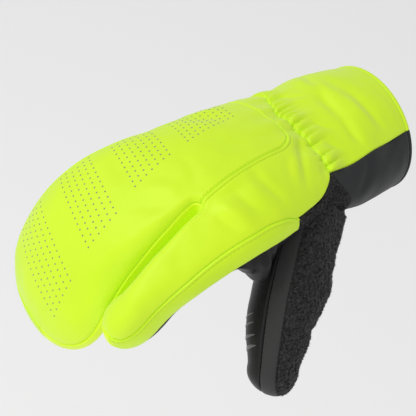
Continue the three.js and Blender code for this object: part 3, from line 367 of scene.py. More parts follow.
def hand_skin(s, y, back):
    """The skin over a plan place of the hand."""
    share = outer_share(s, y) * thumb_share(s, y) * slit_share(s, y)
    on_index = y >= SLIT_SIDE
    for pod, here in ((big_pod, ~on_index), (index_pod, on_index)):
        across = (y - pod.middle) / pod.tip_half
        beyond = (s - pod.tip_start) / pod.tip_length
        round_tip = rounded_edge(1 - np.hypot(across, beyond), 1, fullness(pod.tip_start))
        share = np.where(here & (s > pod.tip_start), round_tip, share)
    thinning = np.where(on_index & (s > SLIT_START), INDEX_THINNING, 1)
    return place_hand(s, y, finish_height(s, y, share, back, thinning))


print("height of the back at the knuckles", float(back_height(SLIT_START)), "mm")

# %% [markdown]
# The strips run along the rim, where a plan place alone would stand on edge. So the rim has its own
# skin: a zone, how far along it, and the height there as a share of the crown.

# %% The skin of the rim


def slit_plan(zone, t, share):
    if zone == "crotch":
        reach = slit_half(SLIT_START) + edge_inset(share, SLIT_LIP, fullness(SLIT_START))
        return SLIT_START - reach * np.sin(t), SLIT_SIDE + reach * np.cos(t)
    pod = big_pod if zone == "big_slit" else index_pod
    reach = slit_half(t) + edge_inset(share, pod.lip_radius(t), fullness(t))
    return t, SLIT_SIDE + (-reach if zone == "big_slit" else reach)


def tip_plan(pod, angle, share):
    scale = 1 - edge_inset(share, 1, fullness(pod.tip_start))
    along = pod.tip_start + pod.tip_length * scale * np.sin(angle)
    return along, pod.middle + pod.tip_half * scale * np.cos(angle)


def rim_skin(zone, t, height):
    t, height = np.broadcast_arrays(np.asarray(t, float), np.asarray(height, float))
    share = np.abs(height)
    back = height >= 0
    thinning = 1
    if zone == "outer":
        s = t
        y = -outer_half(t) + edge_inset(share, big_pod.side_radius(t), fullness(t))
    elif zone == "thumb":
        s = t
        y = thumb_half(t) - edge_inset(share, index_pod.side_radius(t), fullness(t))
        thinning = np.where(t > SLIT_START, INDEX_THINNING, 1)
    elif zone in ("big_slit", "index_slit", "crotch"):
        s, y = slit_plan(zone, t, share)
        share = share * outer_share(s, y) * thumb_share(s, y)
        thinning = INDEX_THINNING if zone == "index_slit" else 1
    else:
        pod = big_pod if zone == "big_tip" else index_pod
        s, y = tip_plan(pod, t, share)
        thinning = pod.thinning
    return place_hand(s, y, finish_height(s, y, share, back, thinning))


thumb_edge = column(STRIP_EDGES, EDGE_COLUMNS, "thumb", MITT_LENGTH, 1)
thumb_palm_edge = column(STRIP_EDGES, EDGE_COLUMNS, "thumb_palm", MITT_LENGTH, 1)
outer_edge = column(STRIP_EDGES, EDGE_COLUMNS, "outer", MITT_LENGTH, 1)
big_lip = column(STRIP_EDGES, EDGE_COLUMNS, "big_lip", MITT_LENGTH, 1)
index_lip = column(STRIP_EDGES, EDGE_COLUMNS, "index_lip", MITT_LENGTH, 1)
notch_height = column(THUMB_NOTCH, NOTCH_COLUMNS, "height", MITT_LENGTH, 1)


def tip_seam(pod, angle, back):
    if not back:
        return np.full_like(angle, PALM_SEAM)
    low_side = outer_edge(pod.tip_start) if pod is big_pod else index_lip(pod.tip_start)
    high_side = big_lip(pod.tip_start) if pod is big_pod else thumb_edge(pod.tip_start)
    top = BIG_TIP_SEAM if pod is big_pod else INDEX_TIP_SEAM
    side = mix(high_side, low_side, smooth(angle / np.pi))
    return side + (top - side) * np.sin(angle) ** 2


def outer_plan(s, back):
    share = np.abs(outer_edge(s)) if back else abs(PALM_SEAM)
    return -outer_half(s) + edge_inset(share, big_pod.side_radius(s), fullness(s))


def thumb_plan_at(s, share):
    return thumb_half(s) - edge_inset(share, index_pod.side_radius(s), fullness(s))


def thumb_plan(s, back):
    return thumb_plan_at(s, np.abs(thumb_edge(s) if back else thumb_palm_edge(s)))


def slit_side_plan(s, zone, back):
    lip = big_lip(s) if zone == "big_slit" else index_lip(s)
    return slit_plan(zone, s, lip if back else abs(PALM_SEAM))[1]


print("strip edge on the outer side at the knuckles:", round(float(outer_plan(SLIT_START, True)), 1))

# %% [markdown]
# A panel is a grid of places that follows its own outline, so its seams are smooth. Cloth could be
# draped by simulation, but then no seam would stay where the photo has it. So all that is finer than
# the solid is a height along the skin's normal: each edge rolls down into its seam, and a row of
# stitching pulls a shallow channel beside it.

# %% A panel of cloth


def spread(count, ease=0.75):
    """Shares from 0 to 1 that lie closer together near both ends."""
    t = np.linspace(0, 1, count)
    return mix(t, 0.5 - 0.5 * np.cos(np.pi * t), ease)


def lengths_between(points, axis):
    steps = np.linalg.norm(np.diff(points, axis=axis), axis=-1)
    pad = [(1, 0) if k == axis else (0, 0) for k in range(2)]
    return np.cumsum(np.pad(steps, pad), axis=axis)


class Panel:
    """A grid of cloth: the plain skin, its normals, the plan places and the fine height."""

    def __init__(self, points, plan, inside):
        self.base = points
        self.plan = plan
        down = np.gradient(points, axis=0)
        across = np.gradient(points, axis=1)
        normal = np.cross(down, across)
        size = np.linalg.norm(normal, axis=-1, keepdims=True)
        self.normal = normal / np.maximum(size, 1e-9)
        self.outward = 1
        if np.mean(np.sum(self.normal * (points - inside), -1)) < 0:
            self.normal = -self.normal
            self.outward = -1
        self.height = np.zeros(points.shape[:2])
        along = lengths_between(points, 0)
        aside = lengths_between(points, 1)
        self.edge_distance = {
            "start": along,
            "end": along[-1:] - along,
            "low": aside,
            "high": aside[:, -1:] - aside,
        }

    @property
    def surface(self):
        return self.base + self.normal * self.height[..., None]

    def roll_edges(self, sides, depth, width):
        for side in sides:
            near = np.maximum(1 - self.edge_distance[side] / width, 0)
            self.height -= depth * near ** 2.2

    def channel(self, sides, distance, depth, width=0.8):
        for side in sides:
            off = (self.edge_distance[side] - distance) / width
            self.height -= depth * np.exp(-off * off)

    def rib(self, sides, width, rise):
        """The turned-in cloth that lies under the skin beside an edge."""
        for side in sides:
            off = self.edge_distance[side]
            self.height += rise * smooth((off - 0.2) / 0.7) * (1 - smooth((off - width + 0.7) / 0.7))

    def line(self, side, distance):
        """Points and normals of the finished surface at a distance in from one edge."""
        surface = self.surface
        measure = self.edge_distance[side]
        if side in ("start", "end"):
            surface = surface.transpose(1, 0, 2)
            normal = self.normal.transpose(1, 0, 2)
            measure = measure.T
        else:
            normal = self.normal
        points = []
        normals = []
        for row, tilt, far in zip(surface, normal, measure):
            order = slice(None, None, -1) if far[0] > far[-1] else slice(None)
            points.append([np.interp(distance, far[order], row[order, k]) for k in range(3)])
            normals.append([np.interp(distance, far[order], tilt[order, k]) for k in range(3)])
        return np.array(points), np.array(normals)


print("grid shares lie closer near an edge:", spread(5).round(2).tolist())

# %% [markdown]
# A panel on its own is a sheet. Real cloth has a thickness, and a sheet would let light and camera
# through at its rim. So the same grid is laid a second time, inwards by the wall, and the open edges of
# both are joined. Faces that would lie in another piece are left out first.

# %% From panels to a closed wall


def grid_faces(rows, columns, start, flip):
    ids = start + np.arange(rows * columns).reshape(rows, columns)
    faces = np.stack([ids[:-1, :-1], ids[1:, :-1], ids[1:, 1:], ids[:-1, 1:]], -1).reshape(-1, 4)
    return faces[:, ::-1] if flip else faces


def merge_places(points):
    """Numbers that join the points which lie on the same spot, for panels with two blocks."""
    keys = np.round(points * 500).astype(np.int64)
    _, first, same = np.unique(keys, axis=0, return_index=True, return_inverse=True)
    return first, same.reshape(-1)


def wall_mesh(name, panels, thickness, keep=None):
    """Joins panels and closes them into a wall. keep says which faces stay, by their middle."""
    base = np.concatenate([p.base.reshape(-1, 3) for p in panels])
    normal = np.concatenate([p.normal.reshape(-1, 3) for p in panels])
    height = np.concatenate([p.height.reshape(-1) for p in panels])
    plan = np.concatenate([p.plan.reshape(-1, 2) for p in panels])
    faces = []
    start = 0
    for p in panels:
        rows, columns = p.height.shape
        faces.append(grid_faces(rows, columns, start, p.outward < 0))
        start += rows * columns
    faces = np.concatenate(faces)
    first, same = merge_places(base)
    joined = np.zeros((len(first), 3))
    np.add.at(joined, same, normal)
    joined /= np.maximum(np.linalg.norm(joined, axis=1, keepdims=True), 1e-9)
    base = base[first]
    height = height[first]
    plan = plan[first]
    faces = same[faces]
    if keep is not None:
        faces = faces[keep(base[faces].mean(1))]
    used = np.unique(faces)
    renumber = np.full(len(base), -1)
    renumber[used] = np.arange(len(used))
    faces = renumber[faces]
    outer = (base + joined * height[:, None])[used]
    inner = (base - joined * thickness)[used]
    count = len(used)
    edges = np.stack([faces, np.roll(faces, -1, axis=1)], -1).reshape(-1, 2)
    edges = edges[edges[:, 0] != edges[:, 1]]
    forward = edges[:, 0] * count + edges[:, 1]
    backward = edges[:, 1] * count + edges[:, 0]
    rim = edges[~np.isin(forward, backward)]
    sides = np.stack([rim[:, 1], rim[:, 0], rim[:, 0] + count, rim[:, 1] + count], -1)
    every = np.concatenate([faces, faces[:, ::-1] + count, sides])
    places = np.concatenate([outer, inner])
    return build_mesh(name, places, every, np.concatenate([plan[used], plan[used]]))


print("a grid of 3 by 3 places has", len(grid_faces(3, 3, 0, False)), "faces")


# %% [markdown]
# The points are in millimetres and Blender works in metres, so the last step scales them. Each mesh
# keeps the plan of its cloth as a UV map, for the weave, and the imported node it replaces is hidden.

# %% Into Blender


def build_mesh(name, points, faces, plan=None):
    """A Blender mesh from points in millimetres. Repeated corners of a face are dropped."""
    corners = []
    for face in faces.tolist() if hasattr(faces, "tolist") else faces:
        kept = [v for i, v in enumerate(face) if v not in face[:i]]
        if len(kept) > 2:
            corners.append(kept)
    mesh = bpy.data.meshes.new(name)
    mesh.from_pydata((np.asarray(points) * MM).tolist(), [], corners)
    if plan is not None:
        layer = mesh.uv_layers.new(name="plan")
        loops = np.zeros(len(mesh.loops), np.int32)
        mesh.loops.foreach_get("vertex_index", loops)
        layer.data.foreach_set("uv", (np.asarray(plan)[loops] * MM).astype(np.float32).reshape(-1))
    mesh.shade_smooth()
    piece = bpy.data.objects.new(name, mesh)
    bpy.context.scene.collection.objects.link(piece)
    return piece


def place_piece(piece, slot, material, *nodes):
    piece.data.materials.append(material)
    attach(piece, "root")
    if nodes:
        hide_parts(*nodes)
    triangles = sum(len(p.vertices) - 2 for p in piece.data.polygons)
    print(piece.name, triangles, "triangles")
    return piece

print("cloth is built in millimetres, at a scale of", MM)

# %% [markdown]
# Cloth is never quite even. A sum of a few slanted waves, with fixed phases, gives a gentle
# unevenness that comes out the same each time the script runs.

# %% Soft unevenness
WAVES = (
    (1.00, 0.31, 0.4, 1.00),
    (-0.62, 0.94, 2.1, 0.80),
    (0.27, 1.37, 4.4, 0.62),
    (1.71, -0.55, 1.2, 0.45),
    (-1.18, -1.66, 5.3, 0.33),
    (2.41, 1.12, 3.0, 0.22),
)


def uneven(x, y, scale):
    total = 0
    for along, aside, phase, weight in WAVES:
        total = total + weight * np.sin(2 * np.pi * (along * x + aside * y) / scale + phase)
    return total / 2


def lumps(x, y, size, seed):
    """Smooth random lumps of about one size, the same on every run."""
    table = np.random.default_rng(seed).random((64, 64)) - 0.5
    i = np.floor(x / size).astype(int)
    j = np.floor(y / size).astype(int)
    a = smooth(x / size - i)
    b = smooth(y / size - j)
    near = mix(table[i % 64, j % 64], table[(i + 1) % 64, j % 64], a)
    far = mix(table[i % 64, (j + 1) % 64], table[(i + 1) % 64, (j + 1) % 64], a)
    return mix(near, far, b)


print("unevenness runs from", round(float(uneven(np.linspace(0, 90, 500), 3, 40).min()), 2))

# %% [markdown]
# The cloth is a bright softshell: smooth, matt, and woven so finely that only its grain shows. Real
# fluorescent cloth gives back some of the light that falls on it in its own colour; here a steady glow of
# the colour is emitted instead, a painted glow that brightens lit and shaded parts alike and stands in
# for that light. The weave lies in the plan of the hand, so it follows the cloth round.

# %% A helper for the nodes of a cloth


class Finish:
    """A small helper that lays out the nodes of one cloth."""

    def __init__(self, name, roughness, specular=0.3, sheen=0.0, sheen_roughness=0.5):
        self.material = bpy.data.materials.new(name)
        self.material.use_nodes = True
        self.tree = self.material.node_tree
        self.shader = self.tree.nodes["Principled BSDF"]
        self.shader.inputs["Roughness"].default_value = roughness
        self.shader.inputs["Specular IOR Level"].default_value = specular
        self.shader.inputs["Sheen Weight"].default_value = sheen
        self.shader.inputs["Sheen Roughness"].default_value = sheen_roughness

    def node(self, kind, **values):
        made = self.tree.nodes.new(kind)
        for name, value in values.items():
            if name in made.inputs:
                made.inputs[name].default_value = value
            else:
                setattr(made, name, value)
        return made

    def link(self, source, target):
        self.tree.links.new(source, target)

    def object_place(self):
        return self.node("ShaderNodeTexCoord").outputs["Object"]

    def plan_place(self):
        return self.node("ShaderNodeUVMap", uv_map="plan").outputs["UV"]

    def noise(self, place, scale, detail=3.0, roughness=0.5):
        made = self.node("ShaderNodeTexNoise")
        made.inputs["Scale"].default_value = scale
        made.inputs["Detail"].default_value = detail
        made.inputs["Roughness"].default_value = roughness
        self.link(place, made.inputs["Vector"])
        return made.outputs["Fac"]

    def threads(self, place, pitch, direction):
        made = self.node("ShaderNodeTexWave", wave_type="BANDS", bands_direction=direction)
        made.inputs["Scale"].default_value = 0.314 / pitch
        self.link(place, made.inputs["Vector"])
        return made.outputs["Fac"]

    def between(self, low, high, share):
        ramp = self.node("ShaderNodeMix", data_type="RGBA")
        ramp.inputs[6].default_value = (*low, 1)
        ramp.inputs[7].default_value = (*high, 1)
        self.link(share, ramp.inputs[0])
        return ramp.outputs[2]

    def colour(self, low, high, share):
        self.link(self.between(low, high, share), self.shader.inputs["Base Color"])

    def bump(self, height, distance, strength=1.0):
        made = self.node("ShaderNodeBump")
        made.inputs["Distance"].default_value = distance
        made.inputs["Strength"].default_value = strength
        self.link(height, made.inputs["Height"])
        if self.shader.inputs["Normal"].is_linked:
            self.link(self.shader.inputs["Normal"].links[0].from_socket, made.inputs["Normal"])
        self.link(made.outputs["Normal"], self.shader.inputs["Normal"])

    # Emission on a cloth is painted glow: it stands in for light and is no lamp.
    def glow(self, colour, strength):
        self.shader.inputs["Emission Color"].default_value = (*colour, 1)
        self.shader.inputs["Emission Strength"].default_value = strength


print("a cloth starts from a Principled shader and adds colour, bump and glow")

# %% [markdown]
# Three kinds of cloth are enough. The bright one has a fine crossed weave, the dark ones and the leather
# only a grain, and the fleece a strong soft mottle. The prints and threads use the same helpers.

# %% Kinds of cloth


def bright_cloth(name, low, high, glow):
    made = Finish(name, roughness=0.55, specular=0.42, sheen=0.22)
    made.colour(low, high, made.noise(made.object_place(), 22, 4))
    made.bump(made.threads(made.plan_place(), 0.0006, "X"), 0.00003, 0.5)
    made.bump(made.threads(made.plan_place(), 0.0006, "Y"), 0.00003, 0.5)
    made.bump(made.noise(made.object_place(), 170, 3), 0.00030, 0.35)
    # The bright cloths emit their high colour as painted glow, the same in light and in shade.
    made.glow(high, glow)
    return made.material


def dark_cloth(name, low, high, roughness, grain, depth, sheen=0.15):
    made = Finish(name, roughness=roughness, specular=0.3, sheen=sheen)
    made.colour(low, high, made.noise(made.object_place(), grain, 5, 0.6))
    made.bump(made.noise(made.object_place(), grain, 5, 0.6), depth, 0.8)
    return made.material


def fleece_cloth(name):
    made = Finish(name, roughness=0.95, specular=0.10, sheen=0.28, sheen_roughness=0.4)
    grain = made.noise(made.object_place(), 640, 6, 0.7)
    contrast = made.node("ShaderNodeMapRange")
    contrast.inputs["From Min"].default_value = 0.40
    contrast.inputs["From Max"].default_value = 0.64
    made.link(grain, contrast.inputs["Value"])
    made.colour((0.008, 0.008, 0.008), (0.056, 0.056, 0.056), contrast.outputs["Result"])
    made.bump(grain, 0.0009, 0.8)
    return made.material


print("kinds of cloth:", [kind.__name__ for kind in (bright_cloth, dark_cloth, fleece_cloth)])


# %% [markdown]
# The colours are linear values, tried against the photo until a plain patch of each cloth came out
# alike. The slit's cloth glows more, because light goes to and fro between its two bright sides.

# %% The cloths of this mitt
BLACK_LEATHER = ((0.005, 0.005, 0.005), (0.010, 0.010, 0.010))
BLACK_CUFF = ((0.012, 0.013, 0.014), (0.020, 0.021, 0.022))
BLACK_STRIP = ((0.027, 0.027, 0.027), (0.036, 0.036, 0.036))
BLACK_THREAD = ((0.004, 0.004, 0.004), (0.008, 0.008, 0.008))
GREY_DOTS = ((0.24, 0.26, 0.14), (0.30, 0.32, 0.18))
GREY_GRIP = ((0.10, 0.10, 0.10), (0.15, 0.15, 0.15))
NEON_LOW = (0.53, 0.79, 0.003)
NEON_HIGH = (0.62, 0.86, 0.006)
STRIP_LOW = (0.52, 0.79, 0.003)
STRIP_HIGH = (0.60, 0.85, 0.006)
# The last number of each bright cloth is its painted glow. The slit's is the strongest: painted bounce
# light in the groove.
neon = bright_cloth("neon_softshell", NEON_LOW, NEON_HIGH, 0.10)
neon_strip = bright_cloth("neon_strip_cloth", STRIP_LOW, STRIP_HIGH, 0.10)
neon_slit = bright_cloth("neon_slit_cloth", STRIP_LOW, (0.66, 0.84, 0.004), 0.19)
neon_thread = bright_cloth("neon_thread", (0.44, 0.68, 0.003), (0.50, 0.74, 0.005), 0.08)
palm_leather = dark_cloth("palm_leather", *BLACK_LEATHER, 0.42, 900, 0.0002, 0.02)
cuff_cloth = dark_cloth("cuff_softshell", *BLACK_CUFF, 0.8, 1400, 0.00012)
strip_cloth = dark_cloth("thumb_softshell", *BLACK_STRIP, 0.75, 1600, 0.0001)
dark_thread = dark_cloth("dark_thread", *BLACK_THREAD, 0.9, 1400, 0.0001)
dot_print = dark_cloth("reflective_print", *GREY_DOTS, 0.45, 1400, 0.00002)
grip_print = dark_cloth("grip_print", *GREY_GRIP, 0.3, 1400, 0.00002)
fleece = fleece_cloth("thumb_fleece_pile")
print("materials:", [m.name for m in (neon, neon_strip, palm_leather, cuff_cloth, strip_cloth, fleece)])

# %% [markdown]
# The elastic at the wrist draws the back in. The cuff's cloth bulges over it in round lobes with
# sharp creases between them; the hand's side has shallow tucks. Both run out into long soft folds.

# %% Fine relief of the back
LOBE_WIDTH = 6.2
LOBE_RISE = 2.0
LOBE_REACH = 9
LOBE_CREASE = 1.9
LOBE_OVERHANG = 2.4
TUCK_RISE = 0.9
TUCK_REACH = 5
ELASTIC_VALLEY = 0.9

# Each crease runs from one place to another: along, aside, along, aside, then its width and height.
BACK_CREASES = (
    (29, -44, 38, -20, 3.4, -1.3),
    (38, -20, 44, 12, 3.4, -1.3),
    (44, 12, 42, 36, 3.2, -1.0),
    (35, -40, 46, -16, 4.4, 0.9),
    (24, -4, 20, 30, 3.6, -0.9),
    (28, -2, 27, 24, 5.0, 0.7),
    (62, -30, 50, -16, 3.0, -0.8),
    (64, 6, 52, 18, 2.6, -0.8),
    (66, 22, 56, 34, 2.6, -0.7),
    (76, 12, 101, 50, 2.6, -0.9),
    (80, 9, 104, 44, 4.0, 0.6),
    (80, -6, 86, 4, 2.0, -0.7),
    (74, 34, 84, 50, 2.6, -0.6),
    (96, 26, 108, 44, 3.0, -0.6),
    (118, -46, 98, -32, 4.2, 1.0),
    (124, -40, 106, -22, 3.6, -0.8),
    (124, 23, 120, 52, 3.2, -0.9),
    (132, 26, 127, 52, 4.2, 0.7),
    (151, 28, 143, 52, 3.8, 1.5),
    (155, 34, 150, 52, 3.0, -1.1),
    (140, 28, 136, 50, 2.8, -0.9),
    (152, 14, 146, -12, 3.4, -0.7),
    (160, 10, 172, -12, 4.2, 0.8),
    (168, 14, 184, -6, 3.4, -0.6),
    (178, 34, 186, 50, 4.0, -0.6),
    (205, 30, 212, 46, 4.2, 0.5),
)


def creases(s, y, rows):
    rise = 0 * s
    for s0, y0, s1, y1, width, height in rows:
        run = np.array([s1 - s0, y1 - y0], float)
        t = np.clip(((s - s0) * run[0] + (y - y0) * run[1]) / (run @ run), 0, 1)
        bend = 1.8 * np.sin(np.pi * t)
        off_s = s - s0 - t * run[0] - bend * run[1] / np.hypot(*run)
        off_y = y - y0 - t * run[1] + bend * run[0] / np.hypot(*run)
        fade = np.sin(np.pi * mix(0.06, 0.94, t))
        rise = rise + height * fade * np.exp(-((off_s ** 2 + off_y ** 2) / width ** 2))
    return rise


def lobes(y):
    """The backs of the gathered cloth along the elastic: 1 on a lobe, 0 in the crease beside it."""
    run = np.where(y < -22, -22 + 0.6 * (y + 22), y)
    phase = run / LOBE_WIDTH + 0.35 * np.sin(y / 11 + 0.7) + 0.12 * np.sin(y / 3.7 + 2)
    return np.abs(np.sin(np.pi * phase)) ** 0.6


def cuff_gathers(s, y):
    away = np.maximum(gather_line(y) - s, 0)
    share = lobes(y + 0.14 * away)
    size = 1 + 0.3 * np.sin(y / 6.3 + 1.1)
    bulge = LOBE_RISE * size * mix(0.45, 1, share) * np.exp(-(((away - 3.5) / 6.5) ** 2))
    return bulge - LOBE_CREASE * (1 - share) * np.exp(-((away / LOBE_REACH) ** 2))


def hand_gathers(s, y):
    away = np.maximum(s - gather_line(y), 0)
    tucks = lobes(y + 2.4 + 1.3 * np.sin(y / 5.0)) - 0.55
    near = np.exp(-((away / TUCK_REACH) ** 2))
    return TUCK_RISE * tucks * near - ELASTIC_VALLEY * np.exp(-((away / 2.2) ** 2))


def back_detail(s, y):
    soft = 0.34 * uneven(s, y, 46) + 0.12 * uneven(s + 9, y - 4, 17)
    gathers = np.where(s < gather_line(y), cuff_gathers(s, y), hand_gathers(s, y))
    return soft + gathers + creases(s, y, BACK_CREASES)


gather_probe = cuff_gathers(np.full(400, 73.0), np.linspace(-20, 40, 400))
print("gathers are", round(float(np.ptp(gather_probe)), 2), "mm deep")

# %% [markdown]
# The panel over the three outer fingers starts at the wrist with a rounded corner, follows the back
# seam to the crotch of the slit, and then becomes the finger pod. Each row of its grid runs from the
# outer strip to the seam. At the tip the rows curl into a round end.

# %% Rows of the back
CROTCH_FAN = 5
THUMB_FAN = 0.6 * CROTCH_FAN
CROTCH_ROWS = 12
CORNER_ROWS = 30
STRETCH_ROWS = 62
FINGER_COLUMNS = 120
BIG_MIDDLE = -20
INDEX_MIDDLE = 36


def crotch_arc(pod, count, back):
    """Plan places round the U of the slit, from its apex to one side."""
    turn = mix(np.pi / 2, np.pi if pod is big_pod else 0, np.linspace(0, 1, count, endpoint=False))
    return np.stack(slit_plan("crotch", turn, big_lip(SLIT_START) if back else abs(PALM_SEAM)), -1)


def rows_between(starts, ends, columns):
    share = spread(columns)[None, :, None]
    return mix(np.asarray(starts)[:, None, :], np.asarray(ends)[:, None, :], share)


def pod_rows(pod, straight, tip, columns, back):
    share = spread(columns)
    s = np.linspace(SLIT_START, pod.tip_start, straight)
    low = outer_plan(s, back) if pod is big_pod else slit_side_plan(s, "index_slit", back)
    high = slit_side_plan(s, "big_slit", back) if pod is big_pod else thumb_plan(s, back)
    first = np.stack([np.repeat(s[:, None], columns, 1), mix(low[:, None], high[:, None], share)], -1)
    b = 2 * share[None, :] - 1
    u = (1 - (1 - np.linspace(0, 1, tip + 1)[1:, None]) ** 1.3)
    across = b * np.sqrt(1 - u * u / 2)
    beyond = u * np.sqrt(1 - b * b / 2)
    angle = np.arctan2(beyond, across)
    edge_s, edge_y = tip_plan(pod, angle, np.abs(tip_seam(pod, angle, back)))
    reach = np.hypot(across, beyond)
    curl_s = pod.tip_start + (edge_s - pod.tip_start) * reach
    curl_y = pod.middle + (edge_y - pod.middle) * reach
    return np.concatenate([first, np.stack([curl_s, curl_y], -1)])


def hand_panel(rows, back):
    points = hand_skin(rows[..., 0], rows[..., 1], back)
    middle = np.where(rows[..., 1] < SLIT_SIDE, BIG_MIDDLE, INDEX_MIDDLE)
    middle = np.where(rows[..., 0] > SLIT_START, middle, 0)
    return Panel(points, rows, place_hand(rows[..., 0], middle, 0))


print("the palm's side of the slit's crotch lies at", crotch_arc(big_pod, CROTCH_ROWS, False)[0].round(1))

# %% [markdown]
# The back seam has a rounded corner by the wrist and then runs straight to the crotch. The wide panel's
# rows end on it, so the seam is one clean line however coarse the grid is.

# %% The panel over the outer fingers


def corner_path(count):
    turn = np.linspace(0, np.pi / 2, count, endpoint=False)
    along = BACK_SEAM_AT + BACK_SEAM_CORNER * (1 - np.cos(turn))
    return np.stack([along, BACK_SEAM_SIDE - BACK_SEAM_CORNER * (1 - np.sin(turn))], -1)


def stretch_path(count, apex):
    corner_end = BACK_SEAM_AT + BACK_SEAM_CORNER
    t = np.linspace(0, 1, count, endpoint=False)
    return np.stack([mix(corner_end, apex[0], t), mix(BACK_SEAM_SIDE, apex[1], t)], -1)


seam_corner = corner_path(CORNER_ROWS)
big_apex = crotch_arc(big_pod, CROTCH_ROWS, True)
index_apex = crotch_arc(index_pod, CROTCH_ROWS, True)
seam_stretch = stretch_path(STRETCH_ROWS, big_apex[0])
seam = np.concatenate([seam_corner, seam_stretch, big_apex])
stretch_share = np.linspace(0, 1, STRETCH_ROWS, endpoint=False)
crotch_share = np.linspace(0, 1, CROTCH_ROWS, endpoint=False)
outer_along = np.concatenate([
    seam_corner[:, 0],
    mix(BACK_SEAM_AT + BACK_SEAM_CORNER, SLIT_START - 2 * CROTCH_FAN, stretch_share),
    mix(SLIT_START - 2 * CROTCH_FAN, SLIT_START, crotch_share),
])
outer_ends = np.stack([outer_along, outer_plan(outer_along, True)], -1)
finger_rows = np.concatenate([
    rows_between(outer_ends, seam, FINGER_COLUMNS),
    pod_rows(big_pod, 96, 46, FINGER_COLUMNS, True),
])
fingers_panel = hand_panel(finger_rows, True)
print("fingers panel:", finger_rows.shape)

# %% [markdown]
# The panel over the index finger is a hook: it lies across the wrist as a band, turns round the
# seam's corner, and runs on as the index finger. Its rows are rungs from the inner seam to its
# outer end, which follows the wrist seam, the notch over the thumb, and then the thumb's side.

# %% Rows of the index panel
BAND_END_SHARE = 0.6
BAND_CORNER_SHARE = 0.82
INDEX_COLUMNS = 84
notch_s = np.array([row[0] for row in THUMB_NOTCH]) * MITT_LENGTH
notch_y = thumb_plan_at(notch_s, np.array([row[1] for row in THUMB_NOTCH]))
wrist_side = notch_y[0]

band_share = np.linspace(0, 1, 96, endpoint=False)
band_inner_y = mix(outer_plan(BACK_SEAM_AT, True), BACK_SEAM_SIDE - BACK_SEAM_CORNER, band_share)
band_inner = np.stack([np.full_like(band_share, BACK_SEAM_AT), band_inner_y], -1)
wrist_outer_y = outer_plan(gather_line(-OUTER_REACH), True)
band_outer_y = mix(wrist_outer_y, wrist_side * BAND_END_SHARE, band_share)
band_outer = np.stack([gather_line(band_outer_y), band_outer_y], -1)

turn_step = np.linspace(0, 4, 36, endpoint=False)
turn_inner = np.stack([
    BACK_SEAM_AT + BACK_SEAM_CORNER * (1 - np.cos(turn_step * np.pi / 8)),
    BACK_SEAM_SIDE - BACK_SEAM_CORNER * (1 - np.sin(turn_step * np.pi / 8)),
], -1)
turn_y = wrist_side * np.interp(turn_step, (0, 1, 2), (BAND_END_SHARE, BAND_CORNER_SHARE, 1))
turn_s = np.interp(turn_step, (2, 3, 4), notch_s[:3])
notch_side = thumb_plan_at(turn_s, notch_height(turn_s))
turn_outer = np.stack([
    np.where(turn_step < 2, gather_line(turn_y), turn_s),
    np.where(turn_step < 2, turn_y, notch_side),
], -1)

last_notch = np.linspace(notch_s[2], notch_s[3], 8, endpoint=False)
side_along = np.concatenate([last_notch, np.linspace(notch_s[3], SLIT_START - 2 * THUMB_FAN, 58)[:-1]])
seam_along = np.concatenate([
    np.linspace(0, 1 / 8, 8, endpoint=False),
    np.linspace(1 / 8, 1, 58)[:-1],
])
corner_end = np.array([BACK_SEAM_AT + BACK_SEAM_CORNER, BACK_SEAM_SIDE])
stretch_inner = mix(corner_end[None, :], index_apex[0][None, :], seam_along[:, None])
side_edge = np.abs(thumb_edge(side_along))
stretch_height = np.where(side_along < notch_s[3], notch_height(side_along), side_edge)
stretch_outer = np.stack([side_along, thumb_plan_at(side_along, stretch_height)], -1)

apex_along = np.linspace(SLIT_START - 2 * THUMB_FAN, SLIT_START, CROTCH_ROWS, endpoint=False)
apex_outer = np.stack([apex_along, thumb_plan(apex_along, True)], -1)
index_rows = np.concatenate([
    rows_between(band_inner, band_outer, INDEX_COLUMNS),
    rows_between(turn_inner, turn_outer, INDEX_COLUMNS),
    rows_between(stretch_inner, stretch_outer, INDEX_COLUMNS),
    rows_between(index_apex, apex_outer, INDEX_COLUMNS),
    pod_rows(index_pod, 84, 36, INDEX_COLUMNS, True),
])
index_panel = hand_panel(index_rows, True)
print("index panel:", index_rows.shape)

# %% [markdown]
# The cuff is a gauntlet with a bright half behind and a black half under the wrist. Round it, a place
# is a share of a turn. The bright half wraps further down on the outer side than by the thumb.

# %% The gauntlet


def cuff_side(s, turn):
    return (thumb_half(s) - outer_half(s)) / 2 + half_width(s) * np.cos(2 * np.pi * turn)


def cuff_ring(s, turn):
    share = np.sin(2 * np.pi * turn)
    y = cuff_side(s, turn)
    height = np.where(share >= 0, back_height(s), palm_height(s)) * share
    return place_hand(s, y, height + np.where(share >= 0, back_relief(s, y) * share * share, 0))


def wrist_seam_at(height):
    """How far along the wrist seam lies by the thumb, where it rises to the cuff's side seam."""
    return PALM_CUFF_LENGTH + OUTER_GATHER_LEAD * smooth(height / CUFF_SEAM)


CUFF_TURN = math.asin(CUFF_SEAM) / (2 * math.pi)
OUTER_CUFF_TURN = 0.5 - math.asin(OUTER_CUFF_SEAM) / (2 * math.pi)


def cuff_panel(from_turn, to_turn, end_at, rows, columns):
    turn, share = np.meshgrid(np.linspace(from_turn, to_turn, columns), np.linspace(0, 1, rows))
    s = share * end_at(turn)
    side = (s * 0 + turn - 0.25) * 2 * np.pi * 42
    return Panel(cuff_ring(s, turn), np.stack([s, side], -1), place_hand(s, 0, 0)), s, turn


def bright_end(turn):
    y = cuff_side(GAUNTLET_LENGTH, turn)
    inside = smooth((turn - CUFF_TURN) / 0.02) * smooth((OUTER_CUFF_TURN - turn) / 0.02)
    return gather_line(y) + LOBE_OVERHANG * (lobes(y) - 0.3) * inside


def black_end(turn):
    return wrist_seam_at(np.sin(2 * np.pi * turn))


